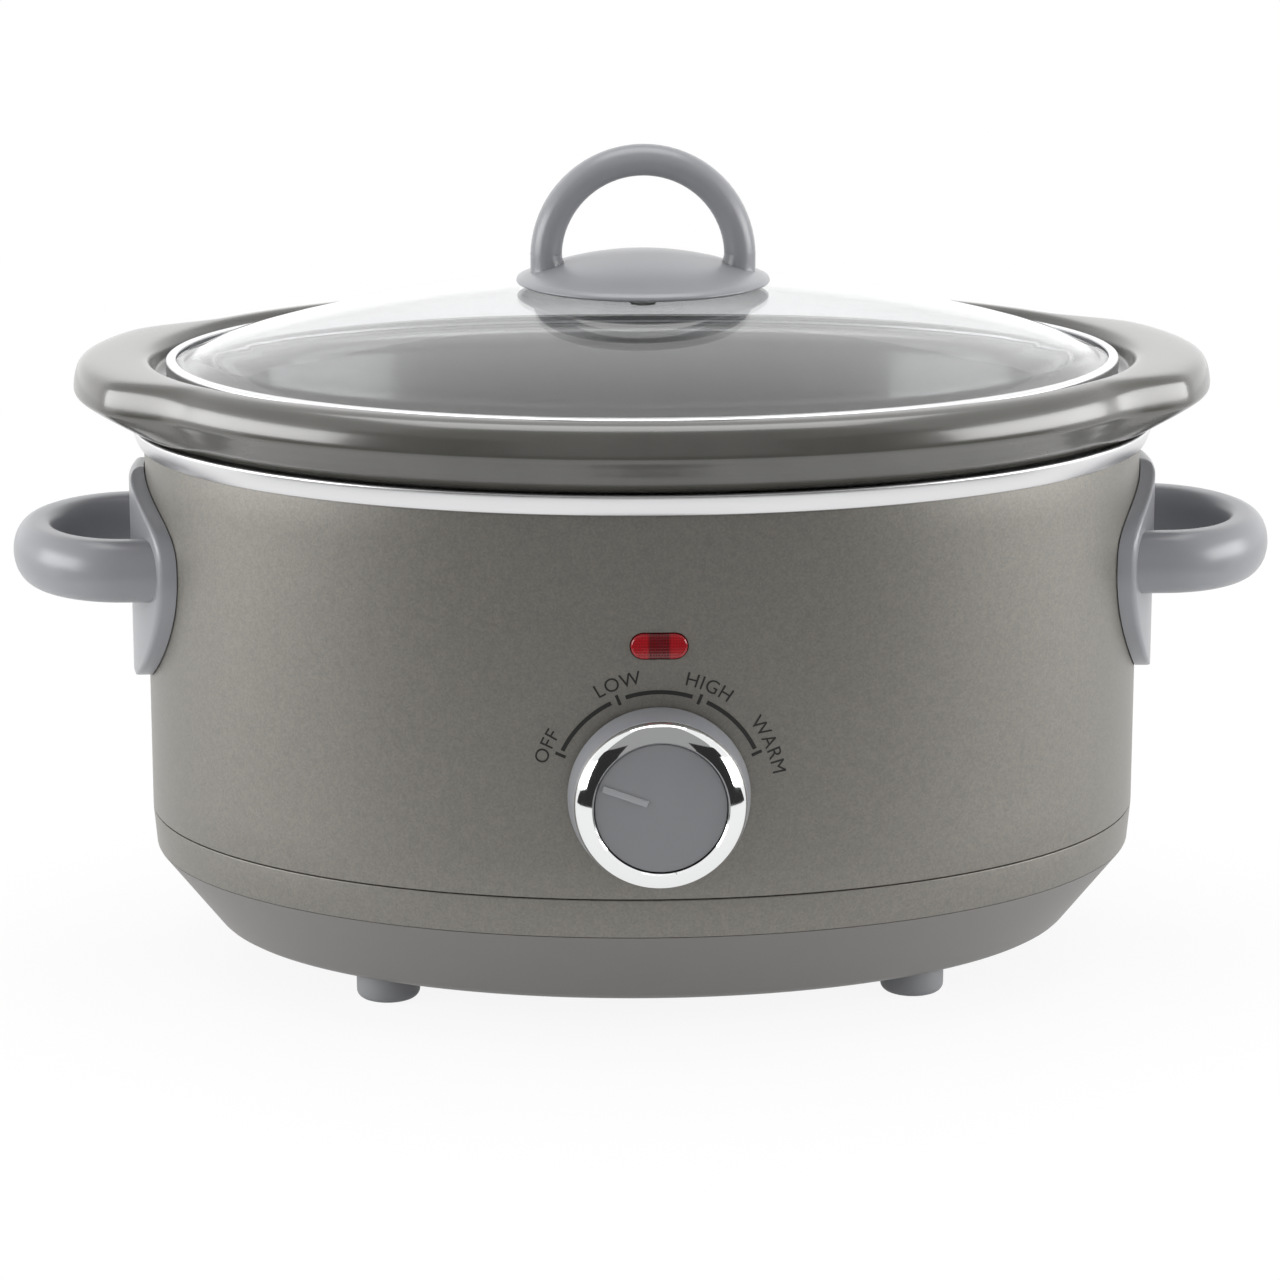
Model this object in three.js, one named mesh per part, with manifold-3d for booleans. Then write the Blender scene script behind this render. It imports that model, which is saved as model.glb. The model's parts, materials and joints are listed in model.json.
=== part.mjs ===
// Oval slow cooker: glazed crock and domed glass lid in a metal-walled heating base.
// Millimetres, +Z up, front towards -Y, origin under the middle of its box on the plane of its feet.
import * as THREE from "three";
import { mergeVertices } from "three/addons/utils/BufferGeometryUtils.js";
import Module from "manifold-3d";

const wasm = await Module();
wasm.setup();

// ---------------------------------------------------------------- driving dimensions
// The oval: every wall is this ellipse moved in or out by the same amount all round. Inside the
// core radius, counted along the depth, floors keep the oval's proportions instead.
const HALF_LENGTH = 150;
const HALF_DEPTH = 112;
const OVAL_CORE = 88;
const OVAL_STEPS = 32;
const DISC_STEPS = 28;
const ROUND_STEPS = 16;
const BORE_STEPS = 12;
// Clearance between pieces that touch.
const FIT = 0.3;

// Feet and their screws.
const FOOT_RADIUS = 9.4;
const FOOT_HEIGHT = 8.4;
const FOOT_ROUND = 2;
const FOOT_SPREAD_X = 78;
const FOOT_SPREAD_Y = 57;
const FOOT_SCREW_RADIUS = 1.9;
const FOOT_SCREW_LENGTH = 14;
const FOOT_HEAD_RADIUS = 3.8;
const FOOT_HEAD_HEIGHT = 2.2;
const FOOT_HEAD_RECESS = 2.6;

// Plastic base pan, and the painted band round its top.
const BASE_WALL = 2.5;
const BASE_INSET = 21;
const BASE_CONE_RISE = 25.2;
const BASE_EDGE_ROUND = 2.4;
const BASE_UPSTAND = 6;
const FOOT_BOSS_RADIUS = 6;
const FOOT_BOSS_CAP = 3;
const TIE_BOSS_RADIUS = 8;
const TIE_BOSS_RISE = 5;
const VENT_LENGTH = 24;
const VENT_WIDTH = 4;
const VENT_PITCH = 12;
const VENT_ROW = 34;
const BAND_INSET = 1;
const BAND_HEIGHT = 11.4;
const BAND_THICKNESS = 1.3;
const BAND_EDGE = 0.8;

// Outer shell, and the heating liner that hangs in it.
const SHELL_HEIGHT = 115.9;
const SHELL_WALL = 1;
const LINER_WALL = 0.9;
const LINER_TOP_INSET = 9;
const LINER_FOOT_INSET = 22;
const LINER_FOOT_ROUND = 12;
const LINER_FLOOR_ABOVE_BASE = 42;
const RIM_FLARE = 3.6;
const RIM_DROP = 6.2;
const RIM_RISE = 2;
const RIM_EDGE = 1.3;

// Crock.
const CROCK_WALL = 6.2;
const CROCK_FLOOR = 7.2;
const CROCK_FOOT_ROUND = 16;
const CROCK_MOUTH_ROUND = 5.7;
const CROCK_SIDE_GAP = 2.8;
const CROCK_FLOOR_GAP = 2;
const CROCK_NECK = 3;
const CROCK_BAND_IN = 1.5;
const CROCK_BAND_OUT = 3.2;
const CROCK_BAND_HEIGHT = 9.8;
const CROCK_ROLL_OUT = 8.6;
const CROCK_ROLL_HEIGHT = 11.3;
const CROCK_CREASE_ROUND = 1.4;
const CROCK_TOP_ROUND = 2.6;
const CROCK_LIP_IN = 2.5;
const CROCK_LIP_ROUND = 2;
const LID_RECESS = 5.8;
const WING_REACH = 12;
const WING_HALF_WIDTH = 40;
const WING_BLEND = 26;

// Lid: rolled steel rim, glass dome, seal, handle and the seat and screw under the glass.
const LID_CLEARANCE = 4.5;
const LID_RIM_WIDTH = 3;
const LID_RIM_HEIGHT = 4.4;
const LID_RIM_SHEET = 0.6;
const LID_RIM_ROUND = 1;
const LID_RIM_LAP = 2;
const DOME_RISE = 21.6;
const DOME_POWER = 2.3;
const DOME_STEPS = 5;
const GLASS_THICKNESS = 3.4;
const GASKET_HEIGHT = 1.2;
const GASKET_LIP = 1;
const DISC_RADIUS = 38.2;
const DISC_LIFT = 0.7;
const DISC_RISE = 9.3;
const DISC_EDGE = 1.4;
const DISC_WALL = 2.6;
const HUB_RADIUS = 12;
const ARCH_RADIUS = 29;
const ARCH_RISE = 3.4;
const ARCH_BAR_WIDTH = 9.4;
const ARCH_BAR_DEPTH = 11;
const ARCH_STEPS = 20;
const LID_SEAT_RADIUS = 8;
const LID_SEAT_HEIGHT = 1.6;
const LID_SEAT_ROUND = 0.5;
const LID_SCREW_RADIUS = 2.5;
const LID_SCREW_GRIP = 5.5;
const LID_HEAD_RADIUS = 4.4;
const LID_HEAD_HEIGHT = 1.6;
const LID_HOLE_PLAY = 1;

// Side handles: a shield-shaped flange with a level loop of fat oval bar, and their screws.
const HANDLE_BELOW_TOP = 36.6;
const LOOP_REACH = 29;
const LOOP_HALF_WIDTH = 35.2;
const LOOP_ROOT = 20;
const LOOP_BAR_WIDTH = 12.6;
const LOOP_BAR_HEIGHT = 18.6;
const LOOP_STEPS = 18;
const FLANGE_THICKNESS = 4.5;
const FLANGE_HALF_WIDTH = 45.4;
const FLANGE_TOP_WIDTH = 10;
const FLANGE_FOOT_WIDTH = 18.5;
const FLANGE_WIDEST = 4.6;
const FLANGE_ABOVE = 21.2;
const FLANGE_BELOW = 41.5;
const FLANGE_UPPER_POWER = 5;
const FLANGE_LOWER_POWER = 2;
const FLANGE_POINTS = 10;
const HANDLE_BOSS_RADIUS = 4.5;
const HANDLE_BOSS_ROOT = 1;
const HANDLE_SCREW_RADIUS = 1.7;
const HANDLE_SCREW_GRIP = 4.4;
const HANDLE_SCREW_ABOVE = 16;
const HANDLE_SCREW_BELOW = 22;
const HANDLE_HEAD_RADIUS = 3.4;
const HANDLE_HEAD_HEIGHT = 2.2;
const WASHER_RADIUS = 6.6;
const WASHER_THICKNESS = 1;

// Knob, on the front centre line.
const KNOB_ABOVE_SEAM = 31.2;
const KNOB_GAP = 0.8;
const KNOB_RADIUS = 26;
const KNOB_FRONT_RADIUS = 24.2;
const KNOB_DEPTH = 11;
const KNOB_WALL = 2;
const KNOB_FACE_WALL = 1.4;
const KNOB_EDGE = 0.8;
const KNOB_SKIRT = 2.2;
const KNOB_BOSS_RADIUS = 6.5;
const KNOB_REST_ANGLE = 160;
const RING_RADIUS = 23.6;
const RING_RISE = 3;
const CAP_RADIUS = 18.8;
const CAP_RISE = 2.1;
const CAP_EDGE = 0.3;
const POINTER_START = 4;
const POINTER_LENGTH = 13.4;
const POINTER_WIDTH = 1.9;
const POINTER_RISE = 0.5;

// Rotary switch behind the knob.
const SWITCH_WIDTH = 28;
const SWITCH_TALL = 28;
const SWITCH_DEPTH = 13;
const SWITCH_BACK_WALL = 3;
const SHAFT_RADIUS = 3;
const BUSH_RADIUS = 5;
const BUSH_PROUD = 3.4;
const BUSH_ROOT = 2;
const SWITCH_NUT_RADIUS = 8;
const SWITCH_NUT_HEIGHT = 2.4;
const TAB_WIDTH = 5;
const TAB_LENGTH = 3;
const TAB_THICKNESS = 0.8;
const TAB_PITCH = 9;
const TAB_SETBACK = 4;

// Indicator lamp above the knob.
const LENS_ABOVE_KNOB = 43.3;
const LENS_LENGTH = 16;
const LENS_WIDTH = 7.2;
const LENS_PROUD = 1;
const LENS_FLANGE = 1.5;
const LENS_FLANGE_OUT = 1.5;
const HOLDER_DEPTH = 6.5;
const HOLDER_WALL = 1.2;
const LAMP_RADIUS = 2;
const LAMP_LENGTH = 9;

// Heater band and its strap, round the liner.
const HEATER_ABOVE_FLOOR = 43.6;
const HEATER_TALL = 22;
const HEATER_THICKNESS = 1.8;
const STRAP_THICKNESS = 0.8;
const STRAP_TALL = 9;

// What ties the base to the liner: bridge, bolt, washer and nut, with the heat shield on its spacer.
const BRIDGE_LENGTH = 96;
const BRIDGE_WIDTH = 18;
const BRIDGE_SHEET = 1.2;
const TIE_RADIUS = 3;
const TIE_END = 1;
const TIE_HEAD_RADIUS = 6;
const TIE_HEAD_HEIGHT = 3.4;
const TIE_HEAD_EDGE = 1;
const TIE_WASHER_RADIUS = 9;
const TIE_WASHER_THICKNESS = 1;
const NUT_RADIUS = 6;
const NUT_HEIGHT = 5;
const SHIELD_INSET = 34;
const SHIELD_THICKNESS = 0.8;
const SHIELD_ABOVE_BASE = 23;
const SHIELD_LIP = 4;
const SPACER_RADIUS = 7;

// Cord gland, terminal block, thermal fuse and inner leads.
const GLAND_ABOVE_SEAM = 18.7;
const GLAND_RADIUS = 6.2;
const GLAND_FLANGE_RADIUS = 9;
const GLAND_FLANGE = 2.4;
const GLAND_BARB = 1.4;
const GLAND_TAIL = 4;
const CORD_BORE = 3.6;
const TERMINAL_LENGTH = 34;
const TERMINAL_WIDTH = 14;
const TERMINAL_TALL = 12;
const TERMINAL_X = -44;
const TERMINAL_Y = 52;
const TERMINAL_PAD_RISE = 3;
const WAY_RADIUS = 2.6;
const WAY_SCREW_HEIGHT = 2;
const FUSE_RADIUS = 2.2;
const FUSE_LENGTH = 14;
const FUSE_X = 30;
const FUSE_Y = 18;
const CLIP_WIDTH = 6;
const CLIP_SHEET = 1;
const CLIP_TAB = 8;
const LEAD_RADIUS = 1.1;
const LEAD_PACE = 8;
const LEAD_STEPS = 18;

// ---------------------------------------------------------------- worked-out levels
const baseBottom = FOOT_HEIGHT;
const coneTop = baseBottom + BASE_CONE_RISE;
const bandTop = coneTop + FIT + BAND_HEIGHT;
const shellBottom = bandTop + FIT;
const shellTop = shellBottom + SHELL_HEIGHT;
const ledgeTop = shellTop + FIT + LINER_WALL;
const rimTop = shellTop + RIM_RISE;
const rimBottom = rimTop - RIM_DROP;
const bandFoot = ledgeTop + FIT;
const creaseLevel = bandFoot + CROCK_BAND_HEIGHT;
const crockTop = creaseLevel + CROCK_ROLL_HEIGHT;
const recessFloor = crockTop - LID_RECESS;
const lidRimBottom = recessFloor + FIT;
const lidRimTop = lidRimBottom + LID_RIM_HEIGHT;
const glassEdgeBottom = lidRimBottom + LID_RIM_SHEET + FIT;
const glassEdgeTop = lidRimTop - LID_RIM_SHEET - FIT;
const domeTop = glassEdgeTop + DOME_RISE;
const discEdge = domeTop + DISC_LIFT;
const discTop = discEdge + DISC_RISE;
const archCentre = discTop - ARCH_BAR_WIDTH / 2 + ARCH_RISE;
const linerFloor = baseBottom + LINER_FLOOR_ABOVE_BASE;
const linerWallFoot = linerFloor + LINER_FOOT_ROUND;
const linerRadiusTop = HALF_DEPTH - LINER_TOP_INSET;
const linerRadiusFoot = HALF_DEPTH - LINER_FOOT_INSET;
const linerRadiusAt = (z) => {
  const share = (z - linerWallFoot) / (shellTop - linerWallFoot);
  return linerRadiusFoot + share * (linerRadiusTop - linerRadiusFoot);
};
const handleHeight = shellTop - HANDLE_BELOW_TOP;
const knobHeight = bandTop + KNOB_ABOVE_SEAM;
const lensHeight = knobHeight + LENS_ABOVE_KNOB;
const glandHeight = bandTop + GLAND_ABOVE_SEAM;
const heaterLow = linerFloor + HEATER_ABOVE_FLOOR;
const knobReach = KNOB_GAP + KNOB_DEPTH + FIT + Math.max(RING_RISE, CAP_RISE + POINTER_RISE);
const frontReach = HALF_DEPTH + knobReach;
const backReach = HALF_DEPTH + CROCK_ROLL_OUT;
const ovalY = (frontReach - backReach) / 2;
// Where a quarter round crosses its corner's diagonal, as a share of its radius.
const CORNER = 1 - Math.SQRT1_2;

// ---------------------------------------------------------------- materials
const finish = (color, roughness, metalness) =>
  new THREE.MeshStandardMaterial({ color, roughness, metalness });
const paint = () => finish("#7d7b76", 0.45, 0.5);
const greyPlastic = () => finish("#8f9093", 0.4, 0);
const basePlastic = () => finish("#6a6967", 0.5, 0);
const brightSteel = () => finish("#c9cacc", 0.25, 1);
const chrome = () => finish("#e6e7e9", 0.06, 1);
const glaze = () => finish("#4d4b49", 0.15, 0);
const rubber = () => finish("#7c7d80", 0.7, 0);
const paleSilicone = () => finish("#d6d7d8", 0.45, 0);
const blackPlastic = () => finish("#1d1d1e", 0.5, 0);
const zincSteel = () => finish("#b4b2ab", 0.4, 1);

// ---------------------------------------------------------------- shaping tools
// Keeps only positions, welds shared corners and drops triangles of no area.
function weld(geometry) {
  const bare = geometry.clone();
  for (const name of Object.keys(bare.attributes)) {
    if (name !== "position") {
      bare.deleteAttribute(name);
    }
  }
  const merged = mergeVertices(bare, 1e-4);
  const old = merged.index.array;
  const kept = [];
  for (let i = 0; i < old.length; i += 3) {
    const [a, b, c] = [old[i], old[i + 1], old[i + 2]];
    if (a !== b && b !== c && c !== a) {
      kept.push(a, b, c);
    }
  }
  merged.setIndex(kept);
  return merged;
}

function signedVolume(geometry) {
  const p = geometry.attributes.position;
  const ids = geometry.index.array;
  const [a, b, c] = [new THREE.Vector3(), new THREE.Vector3(), new THREE.Vector3()];
  let sum = 0;
  for (let i = 0; i < ids.length; i += 3) {
    a.fromBufferAttribute(p, ids[i]);
    b.fromBufferAttribute(p, ids[i + 1]);
    c.fromBufferAttribute(p, ids[i + 2]);
    sum += a.dot(b.cross(c)) / 6;
  }
  return sum;
}

// A welded copy whose faces point outwards.
function closed(geometry) {
  const solid = weld(geometry);
  if (signedVolume(solid) < 0) {
    const ids = Array.from(solid.index.array);
    for (let i = 0; i < ids.length; i += 3) {
      [ids[i], ids[i + 1]] = [ids[i + 1], ids[i]];
    }
    solid.setIndex(ids);
  }
  return solid;
}

function toManifold(geometry) {
  const solid = closed(geometry);
  return new wasm.Manifold(new wasm.Mesh({
    numProp: 3,
    vertProperties: new Float32Array(solid.attributes.position.array),
    triVerts: new Uint32Array(solid.index.array),
  }));
}

function fromManifold(manifold) {
  const mesh = manifold.getMesh();
  const geometry = new THREE.BufferGeometry();
  const positions = new Float32Array((mesh.vertProperties.length / mesh.numProp) * 3);
  for (let i = 0; i < positions.length / 3; i += 1) {
    for (let k = 0; k < 3; k += 1) {
      positions[3 * i + k] = mesh.vertProperties[mesh.numProp * i + k];
    }
  }
  geometry.setAttribute("position", new THREE.BufferAttribute(positions, 3));
  geometry.setIndex(Array.from(mesh.triVerts));
  return geometry;
}

const cut = (geometry, ...tools) =>
  fromManifold(tools.reduce((left, tool) => left.subtract(toManifold(tool)), toManifold(geometry)));
const join = (...geometries) =>
  fromManifold(geometries.slice(1).reduce((sum, g) => sum.add(toManifold(g)), toManifold(geometries[0])));
const overlapOf = (a, b) => fromManifold(toManifold(a).intersect(toManifold(b)));

// A profile of [radius, height] points turned about the Z axis.
function turned(profile, steps = ROUND_STEPS) {
  const points = profile.map(([r, z]) => new THREE.Vector2(r, z));
  return new THREE.LatheGeometry(points, steps).rotateX(Math.PI / 2);
}

// Closes a ring profile on itself.
const ring = (profile) => [...profile, profile[0]];

// How far X stretches at a radius: walls keep one width all round, and floors keep one ratio.
const OVAL_SHIFT = HALF_LENGTH - HALF_DEPTH;
function stretchAt(radius) {
  const r = Math.max(radius, OVAL_CORE);
  return (r + OVAL_SHIFT) / r;
}

// A turned profile stretched into the oval, with radii counted along the depth.
function ovalTurned(profile, steps = OVAL_STEPS) {
  const geometry = turned(profile, steps);
  const p = geometry.attributes.position;
  for (let i = 0; i < p.count; i += 1) {
    const radius = Math.hypot(p.getX(i), p.getY(i));
    p.setX(i, p.getX(i) * stretchAt(radius));
  }
  return geometry;
}

// How far the faceted wall has fallen back, a small distance off the axes, at the oval's ends and front.
const endBow = (y) => (HALF_LENGTH * y * Math.tan(Math.PI / OVAL_STEPS)) / HALF_DEPTH;
const frontBow = (x) => (HALF_DEPTH * x * Math.tan(Math.PI / OVAL_STEPS)) / HALF_LENGTH;

const ovalBlock = (radius, low, high) => ovalTurned([[0, low], [radius, low], [radius, high], [0, high]]);

// A rod of [x, y, z] centre, along "x", "y" or "z".
function rod(axis, radius, length, [x, y, z], steps = ROUND_STEPS) {
  const geometry = new THREE.CylinderGeometry(radius, radius, length, steps);
  if (axis === "x") {
    geometry.rotateZ(Math.PI / 2);
  }
  if (axis === "z") {
    geometry.rotateX(Math.PI / 2);
  }
  return geometry.translate(x, y, z);
}

// A block between two values on each axis.
const block = ([x0, x1], [y0, y1], [z0, z1]) =>
  new THREE.BoxGeometry(x1 - x0, y1 - y0, z1 - z0).translate((x0 + x1) / 2, (y0 + y1) / 2, (z0 + z1) / 2);
const about = (middle, width) => [middle - width / 2, middle + width / 2];

// Turns a piece made along +Z so that it faces forwards, its zero level on the shell's front.
const facingFront = (geometry, z) => geometry.rotateX(Math.PI / 2).translate(0, -HALF_DEPTH, z);

// A flat outline drawn in X and Z, given a thickness along Y.
function slab(shape, front, back) {
  const options = { depth: back - front, bevelEnabled: false, curveSegments: 8 };
  return new THREE.ExtrudeGeometry(shape, options).rotateX(Math.PI / 2).translate(0, back, 0);
}

function stadium(length, width, z) {
  const r = width / 2;
  const half = length / 2 - r;
  const shape = new THREE.Shape();
  shape.absarc(half, z, r, -Math.PI / 2, Math.PI / 2, false);
  shape.absarc(-half, z, r, Math.PI / 2, Math.PI * 1.5, false);
  return shape;
}

// A bar of oval section along a curve; the section's first half-size lies across the curve's plane.
function bar(curve, halfAcross, halfThrough, sides, steps) {
  const shape = new THREE.Shape();
  shape.absellipse(0, 0, halfAcross, halfThrough, 0, Math.PI * 2, false, 0);
  const options = { steps, curveSegments: sides, extrudePath: curve, bevelEnabled: false };
  return new THREE.ExtrudeGeometry(shape, options);
}

// ---------------------------------------------------------------- assembly
const cooker = new THREE.Group();
const oval = new THREE.Group();
oval.position.y = ovalY;
cooker.add(oval);

function add(name, geometry, material) {
  const shown = closed(geometry).toNonIndexed();
  shown.computeVertexNormals();
  const mesh = new THREE.Mesh(shown, material);
  mesh.name = name;
  oval.add(mesh);
}

// ---------------------------------------------------------------- feet
const footPlaces = [
  ["front_left", -FOOT_SPREAD_X, -FOOT_SPREAD_Y],
  ["front_right", FOOT_SPREAD_X, -FOOT_SPREAD_Y],
  ["rear_left", -FOOT_SPREAD_X, FOOT_SPREAD_Y],
  ["rear_right", FOOT_SPREAD_X, FOOT_SPREAD_Y],
];
const footHole = FOOT_SCREW_RADIUS + FIT;
const footSink = FOOT_HEAD_RADIUS + FIT;
const footHeadTop = FOOT_HEAD_RECESS + FOOT_HEAD_HEIGHT;
const footScrewTop = FOOT_HEAD_RECESS + FOOT_SCREW_LENGTH;
const footTop = baseBottom - FIT;
for (const [place, x, y] of footPlaces) {
  const foot = turned(ring([
    [footSink, 0],
    [FOOT_RADIUS - FOOT_ROUND, 0],
    [FOOT_RADIUS - FOOT_ROUND * CORNER, FOOT_ROUND * CORNER],
    [FOOT_RADIUS, FOOT_ROUND],
    [FOOT_RADIUS, footTop],
    [footHole, footTop],
    [footHole, footHeadTop + FIT],
    [footSink, footHeadTop + FIT],
  ]));
  add(`foot_${place}`, foot.translate(x, y, 0), rubber());
  const screw = turned([
    [0, FOOT_HEAD_RECESS],
    [FOOT_HEAD_RADIUS, FOOT_HEAD_RECESS],
    [FOOT_HEAD_RADIUS, footHeadTop],
    [FOOT_SCREW_RADIUS, footHeadTop],
    [FOOT_SCREW_RADIUS, footScrewTop],
    [0, footScrewTop],
  ], BORE_STEPS);
  add(`foot_screw_${place}`, screw.translate(x, y, 0), zincSteel());
}

// ---------------------------------------------------------------- base
const baseRadius = HALF_DEPTH - BASE_INSET;
const baseFloorTop = baseBottom + BASE_WALL;
const bandOuter = HALF_DEPTH - BAND_INSET;
const bandInner = bandOuter - BAND_THICKNESS;
const upstandOuter = bandInner - FIT;
const upstandTop = bandTop + BASE_UPSTAND;
const baseShell = ovalTurned([
  [0, baseBottom],
  [baseRadius - BASE_EDGE_ROUND, baseBottom],
  [baseRadius, baseBottom + BASE_EDGE_ROUND],
  [bandOuter - FIT, coneTop],
  [upstandOuter, coneTop],
  [upstandOuter, upstandTop],
  [upstandOuter - BASE_WALL, upstandTop],
  [upstandOuter - BASE_WALL, coneTop - BASE_WALL / 2],
  [baseRadius - BASE_WALL, baseFloorTop + BASE_EDGE_ROUND],
  [baseRadius - BASE_WALL - BASE_EDGE_ROUND, baseFloorTop],
  [0, baseFloorTop],
]);
const bossRoot = baseBottom + BASE_WALL / 2;
function post(radius, [x, y], low, high, steps) {
  return rod("z", radius, high - low, [x, y, (low + high) / 2], steps);
}
const footBosses = footPlaces.map(([, x, y]) =>
  post(FOOT_BOSS_RADIUS, [x, y], bossRoot, footScrewTop + FOOT_BOSS_CAP));
const footBores = footPlaces.map(([, x, y]) => post(footHole, [x, y], 0, footScrewTop + FIT, BORE_STEPS));
const tieBossTop = baseFloorTop + TIE_BOSS_RISE;
const tieBore = TIE_RADIUS + FIT;
const tieBoss = post(TIE_BOSS_RADIUS, [0, 0], bossRoot, tieBossTop);
const tieHole = post(tieBore, [0, 0], 0, tieBossTop + BASE_WALL);
const ventRows = [-1, 1].flatMap((side) => [-1, 0, 1].map((step) => side * VENT_ROW + step * VENT_PITCH));
const vents = ventRows.map((x) =>
  block(about(x, VENT_WIDTH), about(0, VENT_LENGTH), [0, baseFloorTop + BASE_WALL]));
const terminalRest = baseFloorTop + TERMINAL_PAD_RISE;
const terminalPad = block(
  about(TERMINAL_X, TERMINAL_LENGTH), about(TERMINAL_Y, TERMINAL_WIDTH), [bossRoot, terminalRest]);
const basePan = cut(join(baseShell, ...footBosses, tieBoss, terminalPad), ...footBores, tieHole, ...vents);
add("base_pan", basePan, basePlastic());

add("base_band", ovalTurned(ring([
  [bandInner, coneTop + FIT],
  [bandOuter - BAND_EDGE, coneTop + FIT],
  [bandOuter, coneTop + FIT + BAND_EDGE],
  [HALF_DEPTH, bandTop],
  [bandInner, bandTop],
])), paint());

// ---------------------------------------------------------------- outer shell
const shellInner = HALF_DEPTH - SHELL_WALL;
const piercing = 6 * SHELL_WALL;
const lensSlot = slab(stadium(LENS_LENGTH + 2 * FIT, LENS_WIDTH + 2 * FIT, lensHeight),
  -HALF_DEPTH - piercing / 2, -HALF_DEPTH + piercing / 2);
const bushHole = rod("y", BUSH_RADIUS + FIT, piercing, [0, -HALF_DEPTH, knobHeight]);
const glandHole = rod("y", GLAND_RADIUS + FIT, piercing, [0, HALF_DEPTH, glandHeight]);
const handleFixings = [
  ["upper", handleHeight + HANDLE_SCREW_ABOVE],
  ["lower", handleHeight - HANDLE_SCREW_BELOW],
];
const handleHoles = [-1, 1].flatMap((side) => handleFixings.map(([, z]) =>
  rod("x", HANDLE_BOSS_RADIUS + FIT, piercing, [side * HALF_LENGTH, 0, z])));
const shellTube = ovalTurned(ring([
  [shellInner, shellBottom],
  [HALF_DEPTH, shellBottom],
  [HALF_DEPTH, shellTop],
  [shellInner, shellTop],
]));
add("outer_shell", cut(shellTube, lensSlot, bushHole, glandHole, ...handleHoles), paint());

// ---------------------------------------------------------------- heating liner
// One pressing: a tapered pot, a ledge that carries the crock, and a flared rim over the shell's edge.
const flareInner = HALF_DEPTH + FIT;
const flareTop = HALF_DEPTH + RIM_FLARE;
const linerInnerFoot = linerRadiusFoot - LINER_WALL;
const linerInnerTop = linerRadiusTop - LINER_WALL;
add("heating_liner", ovalTurned([
  [0, linerFloor],
  [linerRadiusFoot - LINER_FOOT_ROUND, linerFloor],
  [linerRadiusFoot - LINER_FOOT_ROUND * CORNER, linerFloor + LINER_FOOT_ROUND * CORNER],
  [linerRadiusFoot, linerWallFoot],
  [linerRadiusTop, shellTop - LINER_WALL],
  [linerRadiusTop + LINER_WALL, shellTop + FIT],
  [flareTop - RIM_EDGE, shellTop + FIT],
  [flareInner, rimBottom],
  [flareInner + LINER_WALL, rimBottom],
  [flareTop, rimTop - RIM_EDGE / 2],
  [flareTop - RIM_EDGE / 2, rimTop],
  [flareTop - RIM_EDGE, rimTop],
  [flareTop - 2 * RIM_EDGE, ledgeTop],
  [linerRadiusTop + LINER_WALL, ledgeTop],
  [linerInnerTop, shellTop - 2 * LINER_WALL],
  [linerInnerFoot, linerWallFoot],
  [linerInnerFoot - LINER_FOOT_ROUND * CORNER, linerFloor + LINER_WALL + LINER_FOOT_ROUND * CORNER],
  [linerInnerFoot - LINER_FOOT_ROUND, linerFloor + LINER_WALL],
  [0, linerFloor + LINER_WALL],
]), brightSteel());

// ---------------------------------------------------------------- crock
// Its band rests on the liner's ledge, and above the crease a fat roll runs out into two grips. Each
// profile point carries the share of the grips' reach that it moves out by at the oval's ends.
const potTop = linerInnerTop - CROCK_SIDE_GAP;
const potFoot = linerInnerFoot - CROCK_SIDE_GAP;
const potBottom = linerFloor + LINER_WALL + CROCK_FLOOR_GAP;
const potFloor = potBottom + CROCK_FLOOR;
const mouth = potTop - CROCK_WALL;
const mouthFoot = potFoot - CROCK_WALL;
const bandRadius = HALF_DEPTH + CROCK_BAND_OUT;
const bandFootRadius = HALF_DEPTH - CROCK_BAND_IN;
const rollRadius = HALF_DEPTH + CROCK_ROLL_OUT;
const lipRadius = HALF_DEPTH - CROCK_LIP_IN;
const bandPoint = (out, up, grip) => [
  bandFootRadius + out * (bandRadius - bandFootRadius), bandFoot + up * CROCK_BAND_HEIGHT, grip];
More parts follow.
